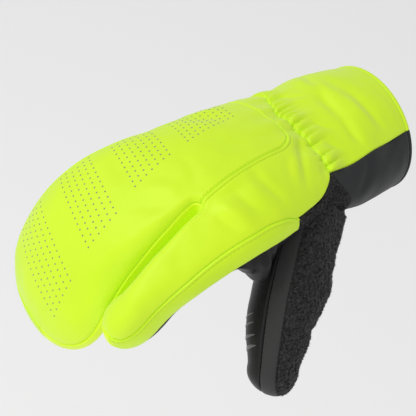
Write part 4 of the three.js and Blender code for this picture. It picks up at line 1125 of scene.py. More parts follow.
gauntlet, gauntlet_s, gauntlet_turn = cuff_panel(CUFF_TURN, OUTER_CUFF_TURN, bright_end, 150, 260)
cuff_under, under_s, under_turn = cuff_panel(OUTER_CUFF_TURN, CUFF_TURN + 1, black_end, 80, 170)
print("bright half of the cuff:", round((OUTER_CUFF_TURN - CUFF_TURN) * 360), "degrees")

# %% [markdown]
# The strips stand on the rim between back and palm, where cloth from a flat pattern is let in to give
# the mitt its depth. Such a strip follows the rim's own skin, zone after zone, with a share of the
# height from its lower to its upper seam.

# %% Panels along the rim


def rim_panel(runs, columns):
    """Joins runs of (zone, places, low, high) into one grid round the rim."""
    share = spread(columns)[None, :]
    points = []
    for zone, t, low, high in runs:
        height = mix(low[:, None], high[:, None], share)
        points.append(rim_skin(zone, np.repeat(t[:, None], columns, 1), height))
    points = np.concatenate(points)
    along = np.cumsum(np.r_[0, np.linalg.norm(np.diff(points[:, columns // 2], axis=0), axis=1)])
    across = np.linalg.norm(points[:, -1] - points[:, 0], axis=1)
    plan = np.stack([np.repeat(along[:, None], columns, 1), across[:, None] * share], -1)
    return points, plan


print("the rim's skin by the knuckles:", rim_skin("outer", np.array([SLIT_START]), 0)[0].round(1), "mm")

# %% [markdown]
# Three strips go round: along the outer side, through the slit, and along the index finger. They join
# near the two fingertips, at the angles given here, as the photo's short cross seams do.

# %% Side strips
BIG_JOINT = math.radians(69.3)
INDEX_JOINT = math.radians(74.3)

outer_runs = [
    ("outer", np.linspace(PALM_CUFF_LENGTH, big_pod.tip_start, 260)),
    ("big_tip", np.linspace(np.pi, BIG_JOINT, 130)[1:]),
]
slit_runs = [
    ("big_tip", np.linspace(BIG_JOINT, 0, 110)[:-1]),
    ("big_slit", np.linspace(big_pod.tip_start, SLIT_START, 90)),
    ("crotch", np.linspace(np.pi, 0, 26)[1:-1]),
    ("index_slit", np.linspace(SLIT_START, index_pod.tip_start, 70)),
    ("index_tip", np.linspace(np.pi, INDEX_JOINT, 80)[1:]),
]
index_runs = [
    ("index_tip", np.linspace(INDEX_JOINT, 0, 80)[:-1]),
    ("thumb", np.linspace(index_pod.tip_start, notch_s[3], 120)),
]


def strip_high(zone, t):
    if zone == "outer":
        return outer_edge(t)
    if zone == "thumb":
        return thumb_edge(t)
    if zone == "big_tip":
        return tip_seam(big_pod, t, True)
    if zone == "index_tip":
        return tip_seam(index_pod, t, True)
    if zone == "big_slit":
        return big_lip(t)
    if zone == "index_slit":
        return index_lip(t)
    return big_lip(SLIT_START) + 0 * t


def strip_low(zone, t):
    return thumb_palm_edge(t) if zone == "thumb" else PALM_SEAM + 0 * t


def rim_insides(points, runs):
    """Places inside the mitt, to say which way each part of a strip faces."""
    inside = []
    for zone, t in runs:
        if zone in ("outer", "thumb"):
            middle = BIG_MIDDLE if zone == "outer" else INDEX_MIDDLE
            inside.append(place_hand(t, np.where(t > SLIT_START, middle, 0), 0))
        elif zone in ("big_slit", "index_slit"):
            inside.append(place_hand(t, BIG_MIDDLE if zone == "big_slit" else INDEX_MIDDLE, 0))
        elif zone == "crotch":
            inside.append(np.repeat(place_hand(np.array([SLIT_START - 40]), SLIT_SIDE, 0), len(t), 0))
        else:
            pod = big_pod if zone == "big_tip" else index_pod
            inside.append(np.repeat(place_hand(np.array([pod.tip_start]), pod.middle, 0), len(t), 0))
    return np.concatenate(inside)[:, None, :]


def strip_panel(runs, columns):
    edged = [(zone, t, strip_low(zone, t), strip_high(zone, t)) for zone, t in runs]
    points, plan = rim_panel(edged, columns)
    return Panel(points, plan, rim_insides(points, runs))


outer_strip = strip_panel(outer_runs, 32)
slit_strip = strip_panel(slit_runs, 32)
index_strip = strip_panel(index_runs, 30)
print("strip widths:", [round(float(p.plan[60, -1, 1]), 1) for p in (outer_strip, slit_strip, index_strip)])

# %% [markdown]
# Over the thumb's root the strip gives way to fleece, which runs on from the thumb to the wrist. It fills
# the rim from the palm's seam up to the notch in the bright back.

# %% The gusset under the notch
gusset_share, gusset_rise = np.meshgrid(np.linspace(0, 1, 110), np.linspace(0, 1, 90), indexing="ij")
gusset_t = mix(wrist_seam_at(mix(PALM_SEAM, CUFF_SEAM, gusset_rise)), notch_s[3], gusset_share)
gusset_low = thumb_palm_edge(gusset_t) + SEAM_GAP / palm_height(gusset_t)
gusset_high = notch_height(gusset_t) - 2 * SEAM_GAP / back_height(gusset_t)
gusset_level = mix(gusset_low, gusset_high, gusset_rise)
gusset_plan = np.stack([gusset_t, gusset_level * 30], -1)
gusset = Panel(rim_skin("thumb", gusset_t, gusset_level), gusset_plan, place_hand(gusset_t, 0, 0))
print("gusset:", round(float(gusset.edge_distance["start"].max())), "mm long")

# %% [markdown]
# The palm forks at the slit, so it is made of two blocks that share the line behind the crotch.

# %% The palm
PALM_COLUMNS = 80
PALM_INDEX_COLUMNS = 56
big_foot = crotch_arc(big_pod, CROTCH_ROWS, False)
index_foot = crotch_arc(index_pod, CROTCH_ROWS, False)
palm_share = np.linspace(0, 1, 60, endpoint=False)
fan = np.linspace(1, 0, CROTCH_ROWS, endpoint=False)


def palm_side(spread_by):
    before = mix(PALM_CUFF_LENGTH, SLIT_START - 2 * spread_by, palm_share)
    return np.concatenate([before, SLIT_START - 2 * spread_by * fan])


palm_start = np.array([PALM_CUFF_LENGTH, SLIT_SIDE])
shared = mix(palm_start, big_foot[0][None, :], palm_share[:, None])
big_side = palm_side(CROTCH_FAN)
index_side = palm_side(THUMB_FAN)
big_ends = np.stack([big_side, outer_plan(big_side, False)], -1)
index_ends = np.stack([index_side, thumb_plan(index_side, False)], -1)
palm_big = np.concatenate([
    rows_between(big_ends, np.concatenate([shared, big_foot]), PALM_COLUMNS),
    pod_rows(big_pod, 70, 36, PALM_COLUMNS, False),
])
palm_index = np.concatenate([
    rows_between(np.concatenate([shared, index_foot]), index_ends, PALM_INDEX_COLUMNS),
    pod_rows(index_pod, 60, 26, PALM_INDEX_COLUMNS, False),
])
palm_panels = [hand_panel(palm_big, False), hand_panel(palm_index, False)]
print("palm:", palm_big.shape, palm_index.shape)

# %% [markdown]
# The thumb is a pod on a line of its own that starts inside the hand. Its back is fleece, its face
# towards the palm is leather, and a smooth strip runs round between them.

# %% The thumb
place_thumb = middle_line(THUMB_SECTIONS, THUMB_COLUMNS, THUMB_LENGTH, place_hand(*THUMB_ROOT), THUMB_ROLL)
thumb_side = column(THUMB_SECTIONS, THUMB_COLUMNS, "side", THUMB_LENGTH, THUMB_SIDE)
thumb_nail = column(THUMB_SECTIONS, THUMB_COLUMNS, "nail", THUMB_LENGTH, THUMB_NAIL)
thumb_pad_depth = column(THUMB_SECTIONS, THUMB_COLUMNS, "pad", THUMB_LENGTH, THUMB_PAD)
thumb_seam = column(THUMB_SECTIONS, THUMB_COLUMNS, "seam", THUMB_LENGTH, 1)
thumb_full = column(THUMB_SECTIONS, THUMB_COLUMNS, "full", THUMB_LENGTH, 1)
THUMB_TIP_START = THUMB_LENGTH - THUMB_TIP


def thumb_height(s, nail, share):
    return np.where(nail, thumb_nail(s), -thumb_pad_depth(s)) * share


def thumb_skin(s, y, nail):
    straight = np.minimum(s, THUMB_TIP_START)
    across = y / thumb_side(straight)
    beyond = np.maximum(s - THUMB_TIP_START, 0) / THUMB_TIP
    share = rounded_edge(1 - np.hypot(across, beyond), 1, thumb_full(straight))
    return place_thumb(s, y, thumb_height(s, nail, share))


def thumb_scale(s, share):
    return 1 - edge_inset(share, 1, thumb_full(s))


def thumb_panel(nail, rows, tip, columns):
    s = np.linspace(THUMB_START, THUMB_TIP_START, rows)[:, None]
    b = (2 * spread(columns) - 1)[None, :]
    side = thumb_side(s) * thumb_scale(s, thumb_seam(s)) * b
    u = (1 - (1 - np.linspace(0, 1, tip + 1)[1:, None]) ** 1.3)
    scale = thumb_scale(THUMB_TIP_START, thumb_seam(THUMB_TIP_START))
    tip_s = THUMB_TIP_START + THUMB_TIP * scale * u * np.sqrt(1 - b * b / 2)
    tip_y = thumb_side(THUMB_TIP_START) * scale * b * np.sqrt(1 - u * u / 2)
    plan = np.concatenate([np.stack([s + 0 * b, side], -1), np.stack([tip_s, tip_y], -1)])
    inside = place_thumb(np.minimum(plan[..., 0], THUMB_TIP_START), 0, 0)
    return Panel(thumb_skin(plan[..., 0], plan[..., 1], nail), plan, inside)


def thumb_strip_panel(rows, columns):
    level = np.linspace(-1, 1, columns)[None, :]
    straight = np.linspace(THUMB_START, THUMB_TIP_START, rows)[:, None]
    turn = np.linspace(np.pi, 0, 40)[1:-1, None]

    def cell(s, side, beyond=0):
        """A place at the seam's share of the height; side and beyond lie on the tip's half circle."""
        height = level * thumb_seam(s)
        reach = thumb_scale(s, np.abs(height))
        along = s + THUMB_TIP * reach * beyond
        rise = thumb_height(along, height >= 0, np.abs(height))
        return place_thumb(along, side * thumb_side(s) * reach, rise)

    tip = cell(np.full_like(turn, THUMB_TIP_START), np.cos(turn), np.sin(turn))
    points = np.concatenate([cell(straight, -1), tip, cell(straight[::-1], 1)])
    along = np.cumsum(np.r_[0, np.linalg.norm(np.diff(points[:, columns // 2], axis=0), axis=1)])
    plan = np.stack([np.repeat(along[:, None], columns, 1), along[:, None] * 0 + level * 6], -1)
    inside_s = np.concatenate([straight[:, 0], 0 * turn[:, 0] + THUMB_TIP_START, straight[::-1, 0]])
    return Panel(points, plan, place_thumb(inside_s, 0, 0)[:, None, :])


fleece_panel = thumb_panel(True, 230, 44, 120)
pad_panel = thumb_panel(False, 90, 24, 44)
thumb_strip = thumb_strip_panel(110, 18)
print("thumb tip at", place_thumb(THUMB_LENGTH, 0, 0).round(1), "mm")

# %% [markdown]
# The solids are plain, so all that is finer comes here. The gathers at the wrist go on round the
# outer side, so there the place aside is run on down the rim as a length of cloth. Relief fades out
# before each seam, so that two panels meet at one height.

# %% Relief of back and strips


def run_on_side(s, level, sense):
    """The place aside, run on as cloth length where the rim turns down."""
    edge = outer_plan(s, True) if sense < 0 else thumb_plan(s, True)
    top = outer_edge(s) if sense < 0 else thumb_edge(s)
    return edge + sense * (top - level) * back_height(s) * 1.1


def shape_back(panel):
    s, y = panel.plan[..., 0], panel.plan[..., 1]
    near = np.minimum(panel.edge_distance["low"], panel.edge_distance["high"])
    near = np.minimum(near, panel.edge_distance["end"])
    panel.height += back_detail(s, y) * mix(1, smooth(near / 7), smooth((s - 146) / 14))


def shape_strip(panel, runs, sense, ends_at):
    t = np.concatenate([np.where(zone in ("outer", "thumb"), t, 400) for zone, t in runs])[:, None]
    high = np.concatenate([strip_high(zone, t) for zone, t in runs])[:, None]
    low = np.concatenate([strip_low(zone, t) for zone, t in runs])[:, None]
    level = mix(low, high, spread(panel.height.shape[1])[None, :])
    s = np.minimum(t, ends_at)
    soft = smooth((ends_at - t) / 14) * smooth((level + 0.45) / 0.5)
    panel.height += back_detail(s + 0 * level, run_on_side(s, level, sense)) * soft


shape_back(fingers_panel)
shape_back(index_panel)
shape_strip(outer_strip, outer_runs, -1, 160)
shape_strip(index_strip, index_runs, 1, 160)
print("relief of the wide back:", round(float(np.ptp(fingers_panel.height)), 1), "mm")

# %% [markdown]
# The bright half of the cuff carries the gathers, and the black half a few slanted folds, where stiff
# cloth buckles as the wrist bends. Both stay smooth at the mouth, where the hem holds them round.

# %% Relief of the cuff
CUFF_CREASES = (
    (2, 40, 30, 20, 4.0, -0.9),
    (10, 52, 44, 36, 4.0, -0.9),
    (30, 62, 52, 40, 3.4, 0.9),
    (40, 30, 56, 6, 4.0, -0.8),
    (8, -10, 36, -24, 5.0, -0.8),
    (24, -50, 52, -40, 4.4, -0.8),
)
level = np.sin(2 * np.pi * gauntlet_turn)
cuff_y = cuff_side(gauntlet_s, gauntlet_turn)
outer_low = (level < outer_edge(GAUNTLET_LENGTH)) & (gauntlet_turn > 0.25)
cuff_y = np.where(outer_low, run_on_side(np.maximum(gauntlet_s, 60), level, -1), cuff_y)
gauntlet.height += back_detail(gauntlet_s, cuff_y) * smooth(gauntlet_s / 8)
under_side = (under_turn - 1) * 260
cuff_under.height += 0.35 * uneven(under_s, under_side, 40) * smooth(under_s / 8)
cuff_under.height += creases(under_s, under_side, CUFF_CREASES)
print("relief of the black half:", round(float(np.ptp(cuff_under.height)), 1), "mm")

# %% [markdown]
# Fleece stands in small tufts over soft dents. Two sizes of lumps raise its surface here, and single
# fibres follow further on. Two wide swells round the thumb's knuckle and root.

# %% Relief of the fleece
PILE_RISE = 1.0

# Each swell has a place along and aside, its reach along and aside, and its height.
FLEECE_SWELLS = ((66, 8, 15, 11, 2.4), (100, 12, 8, 8, 0.8))
FLEECE_CREASES = ((89, 0, 93, 22, 2.2, -1.5), (38, 20, 44, 4, 3.0, -0.8))


def swells(s, y, rows):
    rise = 0 * s
    for along, aside, along_reach, aside_reach, height in rows:
        rise = rise + height * np.exp(-((s - along) / along_reach) ** 2 - ((y - aside) / aside_reach) ** 2)
    return rise


for pile, span_s, span_y in (
    (fleece_panel, fleece_panel.plan[..., 0], fleece_panel.plan[..., 1]),
    (gusset, gusset.plan[..., 0] + 40, gusset.plan[..., 1] + 30),
):
    pile.height += PILE_RISE * (lumps(span_s, span_y, 1.7, 3) + 0.6 * lumps(span_s, span_y, 0.9, 5))
    pile.height += 0.5 * uneven(span_s, span_y, 34)
fleece_s, fleece_y = fleece_panel.plan[..., 0], fleece_panel.plan[..., 1]
fleece_wide = swells(fleece_s, fleece_y, FLEECE_SWELLS) + creases(fleece_s, fleece_y, FLEECE_CREASES)
fleece_panel.height += fleece_wide
print("relief of the fleece:", round(float(np.ptp(fleece_panel.height)), 1), "mm")

# %% [markdown]
# Between thumb and index finger the palm's leather bunches up in a web, and it creases across the
# fingers where they bend. The thumb's face is only a little uneven, because a finger fills it.

# %% Relief of the leather
PALM_SWELLS = ((145, 54, 8, 8, 11.5), (136, 50, 8, 8, 5), (153, 50, 7, 8, 3))
PALM_CREASES = (
    (140, 64, 137, 40, 2.0, -3.2),
    (131, 62, 127, 38, 2.2, -2.4),
    (150, 62, 153, 42, 2.2, -2.4),
    (108, 54, 128, 32, 3.2, -1.5),
    (100, 40, 122, 22, 4.0, 1.0),
    (96, 10, 128, -4, 4.0, -1.0),
    (134, 18, 140, -40, 4.0, -0.9),
    (170, -6, 176, -50, 4.0, -0.9),
    (204, -12, 208, -52, 4.0, -0.9),
    (180, 34, 184, 52, 3.6, -0.8),
)
for palm_half in palm_panels:
    s, y = palm_half.plan[..., 0], palm_half.plan[..., 1]
    seam_fade = smooth(palm_half.edge_distance["high"] / 5)
    palm_half.height += 0.35 * uneven(s, y, 38) + creases(s, y, PALM_CREASES)
    palm_half.height += swells(s, y, PALM_SWELLS) * seam_fade
pad_panel.height += 0.3 * uneven(pad_panel.plan[..., 0], pad_panel.plan[..., 1], 30)
print("the web's leather stands up to", round(float(palm_panels[1].height.max()), 1), "mm")

# %% [markdown]
# The index finger leans on its neighbour: its tip swells into the slit, and the wide pod gives way a
# little. All panels near the place move together, so the seams between them stay shut.

# %% The tips press together
INDEX_BULGE = 5.6
BIG_DENT = -1.6
BULGE_REACH = 13


def bulge(panel, centre, rise, where=1):
    """Moves all cloth near one place of the frame out or in."""
    away = np.linalg.norm(panel.base - centre, axis=-1) / BULGE_REACH
    panel.height += rise * np.exp(-away * away) * where


index_cheek = rim_skin("index_tip", 2.7, 0.1)
big_cheek = rim_skin("big_slit", 206, 0.3)
slit_zones = np.concatenate([[zone] * len(t) for zone, t in slit_runs])
on_index = np.char.startswith(slit_zones, "index")[:, None]
for panel in (index_panel, palm_panels[1], index_strip):
    bulge(panel, index_cheek, INDEX_BULGE)
for panel in (fingers_panel, palm_panels[0]):
    bulge(panel, big_cheek, BIG_DENT)
bulge(slit_strip, index_cheek, INDEX_BULGE, on_index)
bulge(slit_strip, big_cheek, BIG_DENT, ~on_index)
print("the tips press together near", index_cheek.round(1), "mm")

# %% [markdown]
# At a seam the cloth turns in, so each edge rolls down into a groove. The turned-in cloth makes a low
# rib beside it, and the stitches pull a channel. A bevel would give every edge the same round; rows of
# depth and width let the deep seams at the tips and the cuff differ from the flat ones.

# %% Roll the edges into the seams
ROLL_DEPTH = 1.0
ROLL_WIDTH = 1.5
RIB_WIDTH = 2.7
RIB_RISE = 0.42
BOTH = ("low", "high")
index_panel.rib(("low",), RIB_WIDTH, RIB_RISE)
index_panel.channel(("low",), RIB_WIDTH, 0.35, 0.5)
for strip in (outer_strip, slit_strip, index_strip):
    strip.rib(("high",), 2.2, 0.3)
for strip in (outer_strip, index_strip):
    strip.channel(("high",), 2.4, 0.22, 0.5)

# Each row rolls some edges of a panel, with the depth and the width of the roll.
edge_rolls = (
    (fingers_panel, ("start", "high"), 0.8, 1.1),
    (fingers_panel, ("low",), ROLL_DEPTH, ROLL_WIDTH),
    (fingers_panel, ("end",), 1.7, 2.2),
    (index_panel, ("low",), 0.8, 1.0),
    (index_panel, ("start", "high"), ROLL_DEPTH, ROLL_WIDTH),
    (index_panel, ("end",), 1.7, 2.2),
    (outer_strip, BOTH, 0.8, 1.3),
    (outer_strip, ("end",), 1.3, 1.5),
    (slit_strip, BOTH, 1.0, 1.3),
    (slit_strip, ("end", "start"), 1.3, 1.5),
    (index_strip, ("low", "high", "end"), 0.8, 1.3),
    (index_strip, ("end", "start"), 1.3, 1.5),
    (gauntlet, BOTH, ROLL_DEPTH, ROLL_WIDTH),
    (gauntlet, ("end",), 2.4, 2.0),
    (cuff_under, ("low", "high", "end"), 0.8, 1.5),
    (palm_panels[0], ("end", "start", "low"), 0.7, 1.4),
    (palm_panels[1], ("end", "start", "high"), 0.7, 1.4),
    (fleece_panel, ("low", "high", "end"), 1.6, 1.9),
    (pad_panel, ("low", "high", "end"), 1.2, 1.5),
    (thumb_strip, BOTH, 1.1, 1.1),
    (gusset, ("high",), 0.9, 1.6),
)
for panel, sides, depth, width in edge_rolls:
    panel.roll_edges(sides, depth, width)
print("roll at the edges:", ROLL_DEPTH, "mm deep")

# %% [markdown]
# The thumb grows out of the hand. Where the two meet, each wall stops in the middle of the other, as
# cloth does in a seam, so no edge shows and the mitt stays open inside.

# %% Where thumb and hand meet


def locate(place, first, last, points):
    """Along, aside and up of places in the frame, from the nearest point of a middle line."""
    stations = np.linspace(first, last, 90)
    centre = place(stations, 0, 0)
    nearest = np.argmin(((points[:, None] - centre) ** 2).sum(-1), 1)
    s = stations[nearest]
    ahead = place(s + 0.5, 0, 0) - place(s - 0.5, 0, 0)
    s = s + np.sum((points - centre[nearest]) * ahead, -1)
    origin = place(s, 0, 0)
    y = np.sum((points - origin) * (place(s, 1, 0) - origin), -1)
    h = np.sum((points - origin) * (place(s, 0, 1) - origin), -1)
    return s, y, h


def in_thumb(points, margin):
    s, y, h = locate(place_thumb, THUMB_START - 4, THUMB_TIP_START, points)
    share = rounded_edge(1 - np.abs(y) / (thumb_side(s) - margin), 1, thumb_full(s))
    room = np.where(h >= 0, thumb_nail(s), thumb_pad_depth(s)) - margin
    return (s > THUMB_START) & (np.abs(y) < thumb_side(s) - margin) & (np.abs(h) < room * share)


def in_hand(points, margin):
    s, y, h = locate(place_hand, 20, SLIT_START - 8, points)
    across = y - (thumb_half(s) - outer_half(s)) / 2
    wide = half_width(s) - margin
    share = rounded_edge(1 - np.abs(across) / wide, 1, fullness(s))
    relief = np.where(h >= 0, back_relief(s, y) * share * share, palm_relief(s, y) * share)
    room = np.where(h >= 0, back_height(s), palm_height(s)) - margin
    return (np.abs(across) < wide) & (np.abs(h) < room * share + relief) & (s < SLIT_START - 9)


def open_for_thumb(middles):
    return ~in_thumb(middles, 1.2)


def outside_hand(middles):
    return ~in_hand(middles, 1.2)


print("a point in the thumb:", bool(in_thumb(place_thumb(np.array([60.0]), 0, 0), 1)[0]))

# %% [markdown]
# Now each panel is closed into a wall and takes the place of its solid. Walls near the thumb's root are
# cut open there, and those of the thumb end inside the hand.

# %% Make the panels
SHELL = "neon_shell"
STRIP = "neon_strip"
LEATHER = "palm_leather"
walls = (
    ("back_of_fingers", [fingers_panel], SHELL_WALL, None, SHELL, neon, "back_panel_fingers"),
    ("back_of_index", [index_panel], SHELL_WALL, open_for_thumb, SHELL, neon, "back_panel_index"),
    ("gauntlet_bright", [gauntlet], SHELL_WALL, open_for_thumb, SHELL, neon, "gauntlet_back"),
    ("strip_outer", [outer_strip], SHELL_WALL, None, STRIP, neon_strip, "side_strip_outer"),
    ("strip_slit", [slit_strip], SHELL_WALL, None, STRIP, neon_slit, "side_strip_slit"),
    ("strip_index", [index_strip], SHELL_WALL, open_for_thumb, STRIP, neon_strip, "side_strip_index"),
    ("palm_fork", palm_panels, PALM_WALL, open_for_thumb, LEATHER, palm_leather, "palm_panel"),
    ("gauntlet_black", [cuff_under], PALM_WALL, open_for_thumb, "cuff_cloth", cuff_cloth, "gauntlet_palm"),
    ("thumb_back_fleece", [fleece_panel], THUMB_WALL, outside_hand, "fleece", fleece, "thumb_fleece"),
    ("thumb_root_fleece", [gusset], SHELL_WALL, open_for_thumb, "fleece", fleece, "thumb_gusset"),
    ("thumb_band", [thumb_strip], THUMB_WALL, outside_hand, "thumb_strip", strip_cloth, "thumb_side_strip"),
    ("thumb_face", [pad_panel], THUMB_WALL, outside_hand, LEATHER, palm_leather, "thumb_pad"),
)
for name, panels, wall, keep, slot, material, node in walls:
    place_piece(wall_mesh(name, panels, wall, keep), slot, material, node)

# %% [markdown]
# A turned hem finishes the cuff mouth. Its section is a rounded bar that laps the wall on both sides.
# It is made as a loop of such sections, bright behind and black under the wrist.

# %% Hems of the cuff


def bar_section(width, height, round_share=0.7, count=14):
    """Corner points of a rounded bar, as (forward, outward) from its middle."""
    turn = np.linspace(0, 2 * np.pi, count, endpoint=False)
    power = 2 / (2 + 2 * round_share)
    forward = np.sign(np.cos(turn)) * np.abs(np.cos(turn)) ** power * width / 2
    outward = np.sign(np.sin(turn)) * np.abs(np.sin(turn)) ** power * height / 2
    return forward, outward


def tube_mesh(name, rings):
    """Closes rings of points into a tube, capped at both ends."""
    count, size = rings.shape[:2]
    ids = np.arange(count * size).reshape(count, size)
    first, follow = ids[:-1], ids[1:]
    sides = np.stack([first, follow, np.roll(follow, -1, axis=1), np.roll(first, -1, axis=1)], -1)
    faces = sides.reshape(-1, 4).tolist() + [ids[0].tolist(), ids[-1][::-1].tolist()]
    return build_mesh(name, rings.reshape(-1, 3), faces)


def cuff_frame(turn, s=0.0):
    edge = cuff_ring(s + 0 * turn, turn)
    along = cuff_ring(s + 1 + 0 * turn, turn) - edge
    along /= np.linalg.norm(along, axis=-1, keepdims=True)
    round_way = cuff_ring(s + 0 * turn, turn + 1e-4) - cuff_ring(s + 0 * turn, turn - 1e-4)
    out = np.cross(round_way, along)
    return edge, along, out / np.linalg.norm(out, axis=-1, keepdims=True)


def hem(name, from_turn, to_turn, wall, slot, material, node):
    inset = SEAM_GAP / (4 * math.pi * half_width(0))
    edge, along, out = cuff_frame(np.linspace(from_turn + inset, to_turn - inset, 160))
    forward, outward = bar_section(HEM_WIDTH, wall + 2 * HEM_LAP)
    forward = forward - SEAM_GAP - HEM_WIDTH / 2
    outward = outward - wall / 2
    rings = edge[:, None] + along[:, None] * forward[None, :, None] + out[:, None] * outward[None, :, None]
    place_piece(tube_mesh(name, rings), slot, material, node)


hem("hem_bright", CUFF_TURN, OUTER_CUFF_TURN, SHELL_WALL, SHELL, neon, "cuff_hem_back")
hem("hem_black", OUTER_CUFF_TURN, CUFF_TURN + 1, PALM_WALL, "cuff_cloth", cuff_cloth, "cuff_hem_palm")

# %% [markdown]
# A short end of webbing stands out of the seam under the cuff. It is a flat strip with a round end.

# %% Tab under the cuff
TAB_SETBACK = 16
TAB_TURN = 0.885
TAB_WIDTH = 8
TAB_LENGTH = 11
TAB_THICKNESS = 1.8
tab_edge, tab_along, tab_out = cuff_frame(np.array([TAB_TURN]), PALM_CUFF_LENGTH - TAB_SETBACK)
tab_round = np.cross(tab_along[0], tab_out[0])
tab_straight = TAB_LENGTH - TAB_WIDTH / 2
tab_curve = np.sin(np.linspace(0, np.pi / 2, 14)[1:-1])
tab_reach = np.r_[
    np.linspace(0, tab_straight, 12),
    TAB_LENGTH - TAB_WIDTH / 2 * (1 - tab_curve),
    TAB_LENGTH - 0.05,
]
tab_past = np.maximum(tab_reach - TAB_LENGTH + TAB_WIDTH / 2, 0)
tab_half = np.sqrt(np.maximum((TAB_WIDTH / 2) ** 2 - tab_past ** 2, 0.3))
tab_rows = []
for reach, half in zip(tab_reach, tab_half):
    centre = tab_edge[0] + tab_out[0] * (reach + SEAM_GAP)
    tab_rows.append([
        centre + tab_along[0] * aside + tab_round * (up - TAB_THICKNESS / 2)
        for aside, up in (
            (-half, -TAB_THICKNESS / 2),
            (half, -TAB_THICKNESS / 2),
            (half, TAB_THICKNESS / 2),
            (-half, TAB_THICKNESS / 2),
        )
    ])
place_piece(tube_mesh("webbing_tab", np.array(tab_rows)), "cuff_cloth", cuff_cloth, "wrist_tab")
print("tab reaches", TAB_LENGTH, "mm out")

# %% [markdown]
# Rows of stitching hold the turned-in cloth beside the seams. Each stitch is a short capsule that
# lies in its channel along the seam; all the stitches of one row are one mesh.

# %% A row of stitches
STITCH_PITCH = 3.0
STITCH_LENGTH = 2.2
STITCH_WIDTH = 0.4


def many_rings(name, rings):
    """One mesh of many closed shapes. rings is (shapes, rings, corners, 3)."""
    shapes, levels, corners = rings.shape[:3]
    ids = np.arange(shapes * levels * corners).reshape(shapes, levels, corners)
    low, high = ids[:, :-1], ids[:, 1:]
    sides = np.stack([low, np.roll(low, -1, 2), np.roll(high, -1, 2), high], -1).reshape(-1, 4).tolist()
    caps = ids[:, 0, ::-1].tolist() + ids[:, -1].tolist()
    return build_mesh(name, rings.reshape(-1, 3), sides + caps)


def stitch_row(name, points, normals, lift, width=STITCH_WIDTH):
    steps = np.linalg.norm(np.diff(points, axis=0), axis=1)
    walked = np.r_[0, np.cumsum(steps)]
    middles = np.arange(STITCH_PITCH, walked[-1] - STITCH_PITCH, STITCH_PITCH)

    def at(places, table):
        return np.stack([np.interp(places, walked, table[:, k]) for k in range(3)], -1)

    ahead = at(middles + 1, points) - at(middles - 1, points)
    ahead /= np.linalg.norm(ahead, axis=1, keepdims=True)
    up = at(middles, normals)
    up -= ahead * np.sum(up * ahead, 1, keepdims=True)
    up /= np.linalg.norm(up, axis=1, keepdims=True)
    across = np.cross(ahead, up)
    turn = np.linspace(0, 2 * np.pi, 6, endpoint=False)
    rings = []
    for share, thick in ((-1, 0.35), (-0.7, 0.9), (0, 1), (0.7, 0.9), (1, 0.35)):
        centre = at(middles + share * STITCH_LENGTH / 2, points) + up * lift
        round_way = np.cos(turn)[:, None, None] * across + np.sin(turn)[:, None, None] * up
        rings.append(centre[:, None] + (round_way * thick * width / 2).transpose(1, 0, 2))
    return many_rings(name, np.stack(rings, 1))


print("a stitch is", STITCH_LENGTH, "mm long, every", STITCH_PITCH, "mm")

# %% [markdown]
# A row follows one edge of a panel at a fixed distance. On the back the stitching shows only behind the
# slit, and elsewhere it stops where hand and thumb run into each other.

# %% Rows of stitches


def outside_thumb(row):
    keep = ~in_thumb(row[0], -0.5)
    return row[0][keep], row[1][keep]


def outside_palm(row):
    keep = ~in_hand(row[0], -0.5)
    return row[0][keep], row[1][keep]


def behind_slit(row, count):
    return row[0][:count], row[1][:count]


stitch_rows = (
    ("stitches_back_seam", behind_slit(index_panel.line("low", RIB_WIDTH), 230), neon_thread, "neon_shell"),
    ("stitches_fingers", behind_slit(fingers_panel.line("high", 1.2), 104), neon_thread, "neon_shell"),
    ("stitches_outer_strip", outer_strip.line("high", 2.4), neon_thread, "neon_strip"),
    ("stitches_index_strip", outside_thumb(index_strip.line("high", 2.4)), neon_thread, "neon_strip"),
)
for name, (points, normals), thread, slot in stitch_rows:
    place_piece(stitch_row(name, points, normals, -0.02), slot, thread)
for name, side in (("stitches_thumb_back", "high"), ("stitches_thumb_face", "low")):
    points, normals = outside_palm(thumb_strip.line(side, 0.55))
    place_piece(stitch_row(name, points, normals, 0.0, 0.6), "thumb_strip", dark_thread)

# %% [markdown]
# Bands of small reflective dots are printed across the fingers, in slanted columns that run down to
# the outer strip. The columns stand further apart towards the tips. Each dot is a low dome.

# %% Printed dots
DOT_PITCH = 4.2
DOT_SLANT = 0.226
DOT_SIZE = 1.2
DOT_RISE = 0.16
DOT_BANDS = ((103, -19, 3.6, 10), (148.5, -16, 3.92, 7), (188.5, -10, 4.3, 6), (230, -5.5, 4.8, 6))


def nearest_height(panel, s, y):
    """The fine height of a panel at plan places, from its closest grid point."""
    plan = panel.plan.reshape(-1, 2)
    heights = panel.height.reshape(-1)
    closest = [np.argmin((plan[:, 0] - a) ** 2 + (plan[:, 1] - b) ** 2) for a, b in zip(s, y)]
    return heights[closest]


dot_s = []
dot_y = []
for first, top, step, columns in DOT_BANDS:
    for i in range(columns):
        y = top + 0.25 * i - DOT_PITCH * np.arange(20)
        s = first + step * i + DOT_SLANT * (y - top)
        inside = y > outer_plan(s, True) + 2.5
        dot_s += s[inside].tolist()
        dot_y += y[inside].tolist()
dot_s = np.array(dot_s)
dot_y = np.array(dot_y)
dot_at = hand_skin(dot_s, dot_y, True)
dot_along = hand_skin(dot_s + 0.3, dot_y, True) - dot_at
dot_across = hand_skin(dot_s, dot_y + 0.3, True) - dot_at
dot_along /= np.linalg.norm(dot_along, axis=1, keepdims=True)
dot_up = np.cross(dot_along, dot_across)
dot_up /= np.linalg.norm(dot_up, axis=1, keepdims=True)
dot_across = np.cross(dot_up, dot_along)
dot_at = dot_at + dot_up * nearest_height(fingers_panel, dot_s, dot_y)[:, None]
dot_turn = np.linspace(0, 2 * np.pi, 8, endpoint=False)[:, None, None]
dot_rings = []
